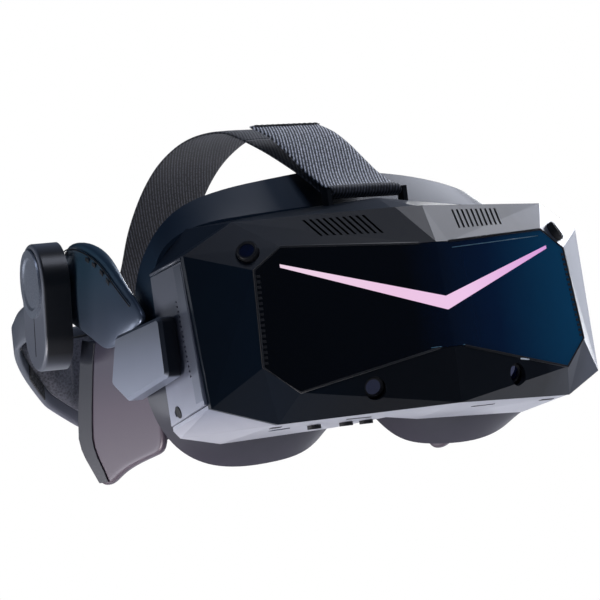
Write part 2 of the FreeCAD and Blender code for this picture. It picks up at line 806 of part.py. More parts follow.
def wing(side):
    """Flat flap that hangs from the arm beside the cheek, down to the resting plane."""
    outline = [(120.0, 15.0), (120.0, 72.0), (150.0, 76.0), (163.0, 81.0), (202.0, 90.0), (211.0, 68.0),
               (216.0, 52.0), (221.0, 30.0), (216.0, 18.0), (209.0, 9.0), (201.0, 0.0), (189.0, 0.0),
               (178.0, 5.0), (162.0, 8.7), (138.0, 12.7)]
    inner = size("wing_inner_x")
    shape = prism(outline, "X", side * inner, side * (size("wing_outer_x") - inner))
    web = Part.makeBox(17.0, 8.0, 21.0, Vector(0, 118.5, 57.5))
    web.translate(Vector(inner + 5.0, 0, 0) if side > 0 else Vector(-inner - 22.0, 0, 0))
    return shape.fuse(web).removeSplitter()


def wing_pad(side):
    """Soft pad on the inner face of the wing."""
    outline = [(128.0, 22.0), (128.0, 68.0), (150.0, 72.0), (163.0, 77.0), (196.0, 84.0), (204.0, 66.0),
               (213.0, 30.0), (205.0, 15.0), (190.0, 9.0), (152.0, 18.0)]
    inner = size("wing_inner_x") - 0.1
    return prism(outline, "X", side * inner, -side * 7.0)


# ---------------------------------------------------------------- headphones

def pod_frame(side):
    """Placement of a headphone: local X points out of the face, local Z up its long side."""
    turn = Rotation(Vector(0, 0, 1), side * size("pod_turn") + (0 if side > 0 else 180))
    lean = Rotation(Vector(1, 0, 0), side * size("pod_lean"))
    centre = Vector(side * size("pod_x"), size("pod_y"), size("pod_z"))
    return Placement(centre, turn.multiply(lean))


def stadium(radius, reach, start, depth):
    """Upright rounded bar in the local YZ plane with its upper centre at the origin."""
    left = Vector(start, -radius, 0)
    right = Vector(start, radius, 0)
    low = Vector(0, 0, -reach)
    edges = [Part.Arc(left, Vector(start, 0, radius), right).toShape(),
             Part.LineSegment(right, right + low).toShape(),
             Part.Arc(right + low, Vector(start, 0, -reach - radius), left + low).toShape(),
             Part.LineSegment(left + low, left).toShape()]
    return Part.Face(Part.Wire(edges)).extrude(Vector(depth, 0, 0))


def pod_shape(side, shape):
    shape.Placement = pod_frame(side).multiply(shape.Placement)
    return shape


def pod_shell(side):
    radius = size("pod_radius")
    depth = size("pod_depth")
    shape = stadium(radius, size("pod_reach"), -depth, depth)
    face_edges = [edge for edge in shape.Edges if edge.BoundBox.XMin > -0.01]
    shape = shape.makeFillet(2.2, face_edges)
    speaker = Part.makeCylinder(radius - 5.0, 3.0, Vector(-depth, 0, -size("pod_reach")), Vector(1, 0, 0))
    shape = shape.cut(speaker)
    hub = Part.makeCylinder(5.0 + size("running_gap"), 9.0, Vector(-depth, 0, 0), Vector(1, 0, 0))
    shape = shape.cut(hub)
    slit = Part.makeBox(1.2, 1.2, 24.0, Vector(-1.0, -0.6, -size("pod_reach") - 15.0))
    return feature("headphone_shell_" + side_word(side), pod_shape(side, shape.cut(slit)))


def pod_cap(side):
    shape = Part.makeCylinder(size("cap_radius"), 1.6, Vector(0.02, 0, 0), Vector(1, 0, 0))
    floor = size("cap_radius") - 6.0
    dish = Part.makeCone(floor, floor + 1.6, 0.9, Vector(0.75, 0, 0), Vector(1, 0, 0))
    return feature("headphone_cap_" + side_word(side), pod_shape(side, shape.cut(dish)))


def pod_grille(side):
    """Perforated cover of the loudspeaker, facing the ear."""
    radius = size("pod_radius") - 5.1
    depth = size("pod_depth")
    shape = Part.makeCylinder(radius, 1.2, Vector(-depth, 0, -size("pod_reach")), Vector(1, 0, 0))
    holes = []
    for ring, count in ((5.0, 6), (10.0, 12), (15.0, 18)):
        for i in range(count):
            angle = 2 * pi * i / count
            spot = Vector(-depth - 1, ring * cos(angle), ring * sin(angle) - size("pod_reach"))
            holes.append(Part.makeCylinder(1.2, 4, spot, Vector(1, 0, 0)))
    shape = shape.cut(Part.makeCompound(holes))
    return feature("headphone_grille_" + side_word(side), pod_shape(side, shape))


def pod_hub(side):
    """Stub axle between the arm and the headphone."""
    depth = size("pod_depth")
    stub = Part.makeCylinder(5.0, 15.6, Vector(-depth - 7.0, 0, 0), Vector(1, 0, 0))
    flange = Part.makeCylinder(11.0, 2.5, Vector(-depth - 2.9, 0, 0), Vector(1, 0, 0))
    hub = pod_shape(side, stub.fuse(flange))
    moved = hub.Placement.toMatrix()
    hub.Placement = Placement()
    return hub.transformed(moved, copy=True).cut(arm_shape(side))


# ---------------------------------------------------------------- rear cradle

# height of the cradle's lower and upper edge against its distance from the middle
CRADLE_EDGES = [(0.0, 31.0, 112.0), (28.0, 33.0, 110.0), (55.0, 41.0, 107.0), (80.0, 56.0, 104.0),
                (100.0, 78.0, 104.0), (114.0, 93.0, 110.0), (121.0, 97.5, 121.0)]


def cradle_edges(x):
    for (x0, low0, high0), (x1, low1, high1) in zip(CRADLE_EDGES, CRADLE_EDGES[1:]):
        if x0 <= abs(x) <= x1:
            share = (abs(x) - x0) / (x1 - x0)
            return low0 + (low1 - low0) * share, high0 + (high1 - high0) * share
    return CRADLE_EDGES[-1][1:]


def cradle_point(angle, inset):
    """Plan of the cradle at an angle from the middle of the back, drawn in by inset."""
    power = 2 / size("cradle_power")
    half_width = size("cradle_half_width") - inset
    reach = size("cradle_reach") - inset
    x = half_width * abs(sin(angle)) ** power * (1 if sin(angle) >= 0 else -1)
    y = size("cradle_centre_y") + reach * max(cos(angle), 0.0) ** power
    return x, y


def cradle_band(inset, wall, low_trim, high_trim, reach_angle, steps):
    """Band that follows the cradle's plan, its lower edge leaning in like a cup."""
    wires = []
    for i in range(steps + 1):
        angle = radians(-reach_angle + 2 * reach_angle * i / steps)
        outer = cradle_point(angle, inset)
        inner = cradle_point(angle, inset + wall)
        low, high = cradle_edges(outer[0])
        steep = 0.04 * max(cos(angle), 0.0)
        low_in = 0.06 * (high - low) * max(cos(angle), 0.0) + steep * low_trim
        high_in = low_in + steep * (high - high_trim - low - low_trim)
        low += low_trim
        high -= high_trim
        ring = [Vector(outer[0], outer[1] - high_in, high), Vector(outer[0], outer[1] - low_in, low),
                Vector(inner[0], inner[1] - low_in, low), Vector(inner[0], inner[1] - high_in, high)]
        wires.append(Part.makePolygon(ring + ring[:1]))
    return Part.makeLoft(wires, True, True)


def cradle_shell():
    shape = cradle_band(1.6, size("cradle_wall"), 0.0, 0.0, 90.0, 48)
    return feature("cradle_shell", shape)


def cradle_pad():
    shape = cradle_band(1.6 + size("cradle_wall") + 0.3, 9.0, 8.0, 7.0, 58.0, 32)
    return feature("cradle_pad", shape)


def cradle_cover():
    """Hollow rear housing that holds the racks and carries the dial."""
    start_y = COVER_Y - 12.0
    outer = Part.makeBox(76.0, COVER_Y + 13.6 - start_y, 38.0, Vector(-38.0, start_y, 59.0))
    upright = [edge for edge in outer.Edges if edge.BoundBox.YLength > 1]
    outer = outer.makeFillet(9.0, upright).cut(cradle_band(1.6, 30.0, 0.0, 0.0, 60.0, 32))
    room = Part.makeBox(68.0, 9.6, 30.0, Vector(-34.0, COVER_Y + 2.0, 63.0))
    mouths = Part.makeBox(90.0, 5.4, 20.0, Vector(-45.0, COVER_Y + 3.4, 68.0))
    shaft = Part.makeCylinder(3.0 + size("running_gap"), 30, Vector(0, COVER_Y + 5, size("dial_z")), ALONG)
    return feature("cradle_cover", outer.cut(room).cut(mouths).cut(shaft))


ALONG = Vector(0, 1, 0)
COVER_Y = 354.0
TOOTH_PITCH = 2 * pi * size("pinion_radius") / 12
TOOTH = [(-0.80, -0.85), (0.80, -0.85), (0.32, 0.8), (-0.32, 0.8)]


def dial_pinion():
    """Twelve-tooth pinion on the dial's shaft."""
    z = size("dial_z")
    pitch_radius = size("pinion_radius")
    shape = Part.makeCylinder(pitch_radius - 0.95, 4.6, Vector(0, COVER_Y + 3.8, z), ALONG)
    for i in range(12):
        flank = [(a, pitch_radius + b - (0.6 if b < 0 else 0)) for a, b in TOOTH]
        tooth = prism(flank, "Y", COVER_Y + 3.8, 4.6)
        tooth.rotate(Vector(), ALONG, i * 30)
        tooth.translate(Vector(0, 0, z))
        shape = shape.fuse(tooth)
    shape = shape.fuse(Part.makeCylinder(3.0, 17.0, Vector(0, COVER_Y + 3.8, z), ALONG))
    return feature("dial_pinion", shape.removeSplitter())


def rack(side):
    """Toothed end of the adjusting band: the left one runs above the pinion."""
    z = size("dial_z")
    pitch_radius = size("pinion_radius")
    bar = Part.makeBox(58.0, 4.2, 2.6, Vector(-22.0, COVER_Y + 4.0, pitch_radius + 0.84))
    shape = bar
    for i in range(-6, 7):
        middle = (i + 0.5) * TOOTH_PITCH
        tooth = prism([(middle + a, pitch_radius - b + (0.2 if b < 0 else 0)) for a, b in TOOTH],
                      "Y", COVER_Y + 4.0, 4.2)
        shape = shape.fuse(tooth)
    shape = shape.removeSplitter()
    if side < 0:
        shape.rotate(Vector(), ALONG, 180)
    shape.translate(Vector(0, 0, z))
    return feature("rack_" + side_word(side), shape)


def dial_knob():
    """Ribbed knob behind the head."""
    z = size("dial_z")
    radius = size("dial_radius")
    shape = Part.makeCylinder(radius, 10.0, Vector(0, COVER_Y + 14.0, z), ALONG)
    rim = [edge for edge in shape.Edges if edge.BoundBox.YLength < 0.1 and edge.BoundBox.YMin > COVER_Y + 20]
    shape = shape.makeFillet(2.0, rim)
    grooves = []
    for i in range(24):
        groove = Part.makeCylinder(1.1, 9.0, Vector(radius + 0.3, COVER_Y + 14.0, 0), ALONG)
        groove.rotate(Vector(), ALONG, i * 15)
        groove.translate(Vector(0, 0, z))
        grooves.append(groove)
    shape = shape.cut(Part.makeCompound(grooves))
    shape = shape.cut(Part.makeCylinder(3.0, 6.8, Vector(0, COVER_Y + 14.0, z), ALONG))
    return feature("dial_knob", shape)


# ---------------------------------------------------------------- top strap

LOOP_Y = 66.0
LOOP_Z = 153.4
STRAP_FRONT = [(66.0, 150.4), (73.0, 153.2), (88.0, 163.6), (106.0, 174.4), (130.0, 187.4), (151.0, 197.4)]
STRAP_REAR = [(151.4, 197.6), (174.0, 206.2), (198.0, 209.6), (222.0, 208.6), (245.0, 203.6), (266.0, 195.0),
              (286.6, 181.0), (305.6, 162.0), (319.5, 141.0), (330.0, 128.0), (338.0, 122.6), (347.0, 121.6)]
STRAP_TAIL = [(66.0, 156.15), (73.0, 158.8), (86.0, 166.8), (100.0, 178.0), (113.0, 188.4),
              (128.0, 198.0), (144.5, 205.4)]


def strip(label, path):
    """Flat webbing along a path in the middle plane."""
    half = size("strap_wall") / 2
    upper = []
    lower = []
    for i, (y, z) in enumerate(path):
        ahead = path[min(i + 1, len(path) - 1)]
        behind = path[max(i - 1, 0)]
        along = Vector(0, ahead[0] - behind[0], ahead[1] - behind[1]).normalize()
        if path is STRAP_REAR and i == 0 or path is STRAP_FRONT and i == len(path) - 1:
            along = Vector(0, 0.90, 0.43).normalize()
        upper.append((y - half * along.z, z + half * along.y))
        lower.append((y + half * along.z, z - half * along.y))
    width = size("strap_width")
    return feature(label, prism(upper + lower[::-1], "X", -width / 2, width))


def strap_loop():
    """Wire loop on the visor's crown that the strap is folded round."""
    half_span = size("strap_width") / 2 + 0.8
    foot = 3.0
    shape = Part.makeCylinder(1.6, 2 * half_span, Vector(-half_span, LOOP_Y, LOOP_Z), Vector(1, 0, 0))
    for x in (-half_span - foot, half_span):
        shape = shape.fuse(Part.makeBox(foot, 6.0, 13.0, Vector(x, LOOP_Y - 3.0, LOOP_Z - 11.4)))
    return feature("strap_loop", shape.cut(crown_patch(20.0)).removeSplitter())


def strap_anchor():
    """Slotted plate on the cradle's upper edge that takes the strap's rear end."""
    y = size("cradle_centre_y") + size("cradle_reach") - 1.6 - size("cradle_wall") - 8.0
    shape = Part.makeBox(60.0, 3.2, 15.6, Vector(-30.0, y, 112.0))
    slot = Part.makeBox(51.0, 12.0, 6.0, Vector(-25.5, y - 3, 118.6))
    return feature("strap_anchor", shape.cut(slot))


# ---------------------------------------------------------------- small fasteners

def housing_screws():
    spots = [(-122.0, 104.0), (122.0, 104.0), (-122.0, 48.0), (122.0, 48.0), (-70.0, 124.0), (70.0, 124.0),
             (-70.0, 34.0), (70.0, 34.0)]
    face = size("chassis_y") + size("chassis_wall")
    heads = []
    for x, z in spots:
        head = Part.makeCylinder(2.4, 1.6, Vector(x, face, z), ALONG)
        slot = Part.makeBox(3.6, 0.8, 0.8, Vector(x - 1.8, face + 0.9, z - 0.4))
        heads.append(head.cut(slot))
    return feature("housing_screws", Part.makeCompound(heads))


def proximity_sensor():
    sensor = box("SensorCan", -5, "Sizes.chassis_y + Sizes.chassis_wall", 121, 10, 4, 6)
    return finish(sensor, "proximity_sensor")


front_bezel()
front_glass()
light_chevron()
top_shell()
bottom_shell()
chassis_frame()
guide_rod()
lead_screw()
spacing_motor()
main_board()
heat_sink()
fan_housing()
fan_rotor()
usb_socket()
button("power_button", -62)
button("volume_up_button", -40)
button("volume_down_button", -26)
audio_jack()
microphone()
tracking_cameras()
tracking_lenses()
housing_screws()
proximity_sensor()
face_shroud()
face_cushion()
nose_flap()
hinge_pins()
hinge_brackets()
strap_loop()
strip("strap_tail", STRAP_TAIL)
strip("top_strap_front", STRAP_FRONT)
strip("top_strap_rear", STRAP_REAR)
strap_anchor()
cradle_shell()
cradle_pad()
cradle_cover()
dial_pinion()
dial_knob()
feature("hinge_blocks", both(hinge_block))
feature("side_wings", both(wing))
feature("wing_pads", both(wing_pad))
feature("headphone_hubs", both(pod_hub))
for side in (1, -1):
    side_panel(side)
    barrel(side)
    lens(side)
    display(side)
    side_arm(side)
    pod_shell(side)
    pod_cap(side)
    pod_grille(side)
    rack(side)

doc.recompute()
for obj in doc.Objects:
    if "Invalid" in obj.State or "Error" in obj.State:
        raise RuntimeError("%s did not compute: %s" % (obj.Label, obj.State))
for obj in subparts:
    if obj.Shape.isNull() or not obj.Shape.isValid():
        raise RuntimeError("%s has no valid shape" % obj.Label)

os.makedirs("parts", exist_ok=True)
for obj in subparts:
    obj.Shape.exportStep("parts/%s.step" % obj.Label)
low = min(obj.Shape.BoundBox.YMin for obj in subparts)
high = max(obj.Shape.BoundBox.YMax for obj in subparts)
print("%d sub-parts, Y from %.2f to %.2f" % (len(subparts), low, high))
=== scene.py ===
import json
from math import cos, pi, radians, sin
import bpy
from mathutils import Matrix, Vector


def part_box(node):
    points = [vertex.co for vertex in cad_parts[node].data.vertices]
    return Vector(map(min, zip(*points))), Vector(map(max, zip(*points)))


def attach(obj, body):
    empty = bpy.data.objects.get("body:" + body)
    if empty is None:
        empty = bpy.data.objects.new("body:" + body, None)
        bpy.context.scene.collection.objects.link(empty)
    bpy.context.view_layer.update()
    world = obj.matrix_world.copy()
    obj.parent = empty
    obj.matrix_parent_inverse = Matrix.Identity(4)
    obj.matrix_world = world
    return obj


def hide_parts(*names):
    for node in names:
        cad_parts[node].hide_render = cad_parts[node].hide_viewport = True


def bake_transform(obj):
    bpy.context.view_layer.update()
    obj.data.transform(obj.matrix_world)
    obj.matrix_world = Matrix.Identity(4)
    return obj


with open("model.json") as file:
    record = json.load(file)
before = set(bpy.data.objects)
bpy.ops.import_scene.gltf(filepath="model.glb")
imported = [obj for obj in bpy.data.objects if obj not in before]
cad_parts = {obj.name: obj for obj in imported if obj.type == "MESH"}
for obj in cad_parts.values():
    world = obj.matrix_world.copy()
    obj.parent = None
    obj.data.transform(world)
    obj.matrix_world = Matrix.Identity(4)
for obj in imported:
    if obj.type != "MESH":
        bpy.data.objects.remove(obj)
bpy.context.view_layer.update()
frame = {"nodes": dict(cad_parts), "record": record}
nodes = frame["nodes"]

# Measures below are millimetres from the tip of the visor's front and from the resting plane.
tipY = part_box("front_bezel")[0][1] + 0.005
print("frame loaded,", len(nodes), "nodes")


def at(x, y, z):
    return Vector((x / 1000, tipY + y / 1000, z / 1000))


def mm(value):
    return value / 1000


cameraSettings = {"azimuth": -33.0, "elevation": -3.616, "roll": -6.846, "lens": 189.6,
                  "place": (-1.04698, -1.64934, -0.02326)}


def makeCamera():
    data = bpy.data.cameras.new("studioCamera")
    data.lens = cameraSettings["lens"]
    data.sensor_width = 36
    data.clip_end = 30
    camera = bpy.data.objects.new("studioCamera", data)
    bpy.context.scene.collection.objects.link(camera)
    turn = Matrix.Rotation(radians(cameraSettings["azimuth"]), 4, "Z")
    tilt = Matrix.Rotation(radians(90 - cameraSettings["elevation"]), 4, "X")
    roll = Matrix.Rotation(radians(cameraSettings["roll"]), 4, "Z")
    camera.matrix_world = Matrix.Translation(cameraSettings["place"]) @ turn @ tilt @ roll
    bpy.context.scene.camera = camera


makeCamera()


def hexColour(text):
    parts = [int(text[i:i + 2], 16) / 255 for i in (1, 3, 5)]
    linear = [p / 12.92 if p <= 0.04045 else ((p + 0.055) / 1.055) ** 2.4 for p in parts]
    return (*linear, 1.0)


def addNode(tree, kind, settings=None, links=None):
    made = tree.nodes.new(kind)
    for key, value in (settings or {}).items():
        if key == "stops":  # a colour ramp's places and colours, in order
            ends = made.color_ramp.elements
            ends[0].position, ends[0].color = value[0][0], hexColour(value[0][1])
            ends[1].position, ends[1].color = value[-1][0], hexColour(value[-1][1])
            for place, colour in value[1:-1]:
                ends.new(place).color = hexColour(colour)
        elif isinstance(key, int) or key in made.inputs:
            made.inputs[key].default_value = value
        else:
            setattr(made, key, value)
    for key, source in (links or {}).items():
        tree.links.new(source, made.inputs[key])
    return made


lightSettings = {
    # name: (place, aim, width, power, colour)
    "frontTopSoftbox": ((0.1, -0.9, 1.6), (0, 0, 0.1), 0.7, 7, "#e6ecff"),
    "rightHighSoftbox": ((1.25, 0.35, 1.25), (0.1, 0, 0.1), 0.75, 9, "#f0f3ff"),
    "rightMidSoftbox": ((1.55, 0.4, 0.68), (0.1, -0.1, 0.12), 0.4, 9, "#f4f7ff"),
    "rightSideSoftbox": ((1.75, 0.5, 0.2), (0.1, 0, 0.08), 0.7, 5, "#eef2ff"),
    "lowLeftSoftbox": ((-0.62, 0.05, -0.33), (-0.14, -0.08, 0.05), 0.35, 5.5, "#fbf6f6"),
    "underSoftbox": ((-0.35, -0.25, -0.75), (-0.05, -0.1, 0.05), 0.45, 7, "#fdf6f2"),
    "leftRearSoftbox": ((-1.0, 1.3, -0.2), (-0.14, 0, 0.06), 0.5, 4.2, "#eef1fa"),
    "rearSoftbox": ((1.5, 1.3, 0.4), (0, 0, 0.1), 0.7, 15, "#ffffff"),
}


def makeLights():
    for name, (place, aim, width, power, colour) in lightSettings.items():
        data = bpy.data.lights.new(name, "AREA")
        data.shape = "SQUARE"
        data.size = width
        data.energy = power
        data.color = hexColour(colour)[:3]
        lamp = bpy.data.objects.new(name, data)
        bpy.context.scene.collection.objects.link(lamp)
        lamp.location = place
        lamp.rotation_mode = "QUATERNION"
        lamp.rotation_quaternion = (Vector(aim) - Vector(place)).to_track_quat("-Z", "Y")
    world = bpy.data.worlds.new("paleStudio")
    bpy.context.scene.world = world
    world.use_nodes = True
    tree = world.node_tree
    tree.nodes.clear()
    # the backdrop is pure white to look at, and a weak grey as a light
    path = addNode(tree, "ShaderNodeLightPath")
    seen = addNode(tree, "ShaderNodeBackground", {"Color": (1, 1, 1, 1), "Strength": 1.0})
    fill = addNode(tree, "ShaderNodeBackground", {"Color": hexColour("#9fb6dc"), "Strength": 0.1})
    both = addNode(tree, "ShaderNodeMixShader",
                   links={0: path.outputs["Is Camera Ray"], 1: fill.outputs[0], 2: seen.outputs[0]})
    addNode(tree, "ShaderNodeOutputWorld", links={"Surface": both.outputs[0]})
    bpy.context.scene.view_settings.view_transform = "Standard"


makeLights()
print("camera and lights ready")


def startMaterial(name, sockets):
    material = bpy.data.materials.new(name)
    material.use_nodes = True
    tree = material.node_tree
    surface = tree.nodes["Principled BSDF"]
    for socket, value in sockets.items():
        surface.inputs[socket].default_value = value
    return material, tree, surface


def gradedFinish(name, s):
    # colour runs along one axis of the headset, a little unevenly, over a fine relief; on the shells and
    # the window the run is painted light, shade and reflection, on the diffuser it is its glow
    material, tree, surface = startMaterial(name, s["sockets"])
    where = addNode(tree, "ShaderNodeTexCoord")
    place = addNode(tree, "ShaderNodeSeparateXYZ", links={"Vector": where.outputs["Object"]})
    low, high = s["span"]
    along = addNode(tree, "ShaderNodeMapRange", {"From Min": mm(low), "From Max": mm(high)},
                    {"Value": place.outputs[s["axis"]]})
    cloud = addNode(tree, "ShaderNodeTexNoise", {"Scale": 1000 / 14, "Detail": 2.0},
                    {"Vector": where.outputs["Object"]})
    uneven = addNode(tree, "ShaderNodeMath", {"operation": "MULTIPLY_ADD", 1: s["unevenness"]},
                     {0: cloud.outputs["Fac"], 2: along.outputs["Result"]})
    ramp = addNode(tree, "ShaderNodeValToRGB", {"stops": s["stops"]}, {"Fac": uneven.outputs[0]})
    if "glow" in s:
        # the light hides the diffuser's own colour, so only the emission follows the ramp
        tree.links.new(ramp.outputs["Color"], surface.inputs["Emission Color"])
        surface.inputs["Emission Strength"].default_value = s["glow"]
        return material
    tree.links.new(ramp.outputs["Color"], surface.inputs["Base Color"])
    if "paintedFrontShade" in s:
        # faces turned to the front get a darker colour: painted shade on the side turned away from the
        # lamps
        facing = addNode(tree, "ShaderNodeSeparateXYZ", links={"Vector": where.outputs["Normal"]})
        turned = addNode(tree, "ShaderNodeMapRange", {"From Min": -0.75, "From Max": -0.35},
                         {"Value": facing.outputs["Y"]})
        frontShadeMix = addNode(tree, "ShaderNodeMix", {"data_type": "RGBA", 6: hexColour(s["paintedFrontShade"])},
                       {0: turned.outputs["Result"], 7: ramp.outputs["Color"]})
        tree.links.new(frontShadeMix.outputs[2], surface.inputs["Base Color"])
    grain = addNode(tree, "ShaderNodeTexNoise", {"Scale": 1000 / s["grain"], "Detail": 2.0},
                    {"Vector": where.outputs["Object"]})
    relief = addNode(tree, "ShaderNodeBump", {"Distance": mm(s["relief"]), "Strength": s["strength"]},
                     {"Height": grain.outputs["Fac"]})
    tree.links.new(relief.outputs["Normal"], surface.inputs["Normal"])
    return material


def grainedFinish(name, s):
    # colour and relief both follow one grain, as many millimetres across as grain says
    material, tree, surface = startMaterial(name, s["sockets"])
    where = addNode(tree, "ShaderNodeTexCoord")
    settings = {"Scale": 1000 / s["grain"], "Detail": s.get("detail", 2.0)}
    grain = addNode(tree, "ShaderNodeTexNoise", settings, {"Vector": where.outputs["Object"]})
    ramp = addNode(tree, "ShaderNodeValToRGB", {"stops": s["stops"]}, {"Fac": grain.outputs["Fac"]})
    tree.links.new(ramp.outputs["Color"], surface.inputs["Base Color"])
    if "relief" in s:
        relief = addNode(tree, "ShaderNodeBump", {"Distance": mm(s["relief"])},
                         {"Height": grain.outputs["Fac"]})
        tree.links.new(relief.outputs["Normal"], surface.inputs["Normal"])
    if "glow" in s:
        tree.links.new(ramp.outputs["Color"], surface.inputs["Emission Color"])
        surface.inputs["Emission Strength"].default_value = s["glow"]
    return material


# PC/ABS with a sprayed satin finish: its fine flake gives a soft, broken highlight.
# Spray texture is about 0.2 mm and is drawn at 0.7 mm to show.
# Except on the band and the racks, the colour stops below paint light and shade across each part.
shellPaintsAndPaintedLight = {
    # dark navy at -X, grey at +X: painted shade and painted highlight from the key lamps on the +X side
    "bezelSatinPaintedLight": {
        "axis": "X", "span": (-139.0, 139.0), "roughness": 0.38, "metallic": 0.0, "specular": 0.3,
        "stops": [(0.0, "#030e1a"), (0.14, "#041525"), (0.35, "#101318"), (0.8, "#171a20"),
                  (1.0, "#666b77")]},
    # dark navy at -X, grey at +X: painted shade and painted highlight, as on the bezel
    "crownSatinPaintedLight": {
        "axis": "X", "span": (-139.0, 139.0), "roughness": 0.36, "metallic": 0.05, "specular": 0.35,
        "stops": [(0.0, "#08192a"), (0.4, "#131d28"), (0.62, "#4a4f58"), (1.0, "#757983")]},
    # pale at the bottom, dark at the top: painted light from the low lamps and painted shade above
    "paleSatinPaintedLight": {
        "axis": "Z", "span": (12.0, 118.0), "roughness": 0.36, "metallic": 0.2, "specular": 0.5,
        "stops": [(0.0, "#cfcdd2"), (0.12, "#c2c3cc"), (0.22, "#9da1b0"), (0.45, "#5f6473"),
                  (1.0, "#50555f")]},
    # lighter at the bottom, darker at the top: painted light and shade, as on the side panel
    "sideStripSatinPaintedLight": {
        "axis": "Z", "span": (30.0, 118.0), "roughness": 0.36, "metallic": 0.2, "specular": 0.5,
        "stops": [(0.0, "#8a90a0"), (0.25, "#676d7b"), (1.0, "#3f454f")]},
    # purple-grey at the bottom, near black and dark teal above: painted light low down and painted shade
    # above
    "shroudSatinPaintedLight": {
        "axis": "Z", "span": (0.0, 172.0), "roughness": 0.45, "metallic": 0.0, "specular": 0.5,
        "stops": [(0.0, "#4a4452"), (0.14, "#2b2733"), (0.42, "#0a1c2c"), (1.0, "#062338")]},
    # lighter at the bottom, darker at the top: painted light and shade; the near black on faces turned to
    # the front is painted shadow
    "blockSatinPaintedShade": {
        "axis": "Z", "span": (45.0, 89.0), "roughness": 0.36, "metallic": 0.3, "specular": 0.5,
        "stops": [(0.0, "#8f96a6"), (0.55, "#737a8a"), (1.0, "#4d545f")], "paintedFrontShade": "#060d18"},
    # grey-blue low down is a painted highlight, the dark teal towards the top is painted shade
    "armSatinPaintedLight": {
        "axis": "Z", "span": (80.0, 144.0), "roughness": 0.3, "metallic": 0.45, "specular": 0.5,
        "stops": [(0.0, "#5d6678"), (0.35, "#465466"), (1.0, "#34566b")]},
    # lighter and warmer low down, darker at the top: painted light and shade
    "wingSatinPaintedShade": {
        "axis": "Z", "span": (0.0, 91.0), "roughness": 0.36, "metallic": 0.1, "specular": 0.5,
        "stops": [(0.0, "#5e525b"), (0.5, "#584c59"), (1.0, "#40414f")]},
    "bandPaintSatin": {
        "axis": "Z", "span": (0.0, 91.0), "roughness": 0.36, "metallic": 0.1, "specular": 0.5,
        "stops": [(0.0, "#2a252c"), (1.0, "#22262f")]},
    # lighter at the bottom, darker towards the top: painted light and shade
    "cupSatinPaintedShade": {
        "axis": "Z", "span": (31.0, 118.0), "roughness": 0.4, "metallic": 0.15, "specular": 0.5,
        "stops": [(0.0, "#75737e"), (0.5, "#6f737d"), (1.0, "#525862")]},
    # lighter towards the top: painted light; the near black on faces turned to the front is painted shadow
    "podSatinPaintedShade": {
        "axis": "Z", "span": (70.0, 150.0), "roughness": 0.36, "metallic": 0.15, "specular": 0.5,
        "stops": [(0.0, "#595d67"), (1.0, "#727781")], "paintedFrontShade": "#0c0e12"},
    # the racks are bare moulded nylon: ivory and slightly waxy
    "naturalNylonMoulded": {
        "axis": "X", "span": (-139.0, 139.0), "roughness": 0.36, "metallic": 0.0, "specular": 0.5,
        "stops": [(0.0, "#b9b6aa"), (1.0, "#cfccc2")]},
}

looks = {}
for name, s in shellPaintsAndPaintedLight.items():
    s.update(grain=0.7, relief=0.012, strength=0.6, unevenness=0.05)
    s["sockets"] = {"Roughness": s["roughness"], "Metallic": s["metallic"],
                    "Specular IOR Level": s["specular"], "Coat Weight": 0.3 * s["specular"],
                    "Coat Roughness": 0.25}
    looks[name] = gradedFinish(name, s)

# acrylic window, hard coated: black, with a painted blue reflection growing towards the wearer's left
looks["window"] = gradedFinish("smokedAcrylicPaintedReflection", {
    "sockets": {"Roughness": 0.07, "IOR": 1.49, "Coat Weight": 0.15, "Coat Roughness": 0.03},
    "axis": "X", "span": (-112.0, 112.0), "unevenness": 0.03,
    "stops": [(0.0, "#010205"), (0.42, "#02050d"), (0.7, "#02284e"), (1.0, "#126089")],
    "grain": 40.0, "relief": 0.02, "strength": 0.25})

# PMMA diffuser lit from behind, nearly white at one end and pink at the other
looks["diffuser"] = gradedFinish("litDiffuserAcrylic", {
    "sockets": {"Roughness": 0.4, "Base Color": hexColour("#1c161c")},
    "axis": "X", "span": (-94.0, 94.0), "unevenness": 0.02, "glow": 0.92,
    "stops": [(0.0, "#f7dcef"), (0.35, "#f5cdec"), (0.6, "#f7cdf2"), (1.0, "#dfa2e2")]})

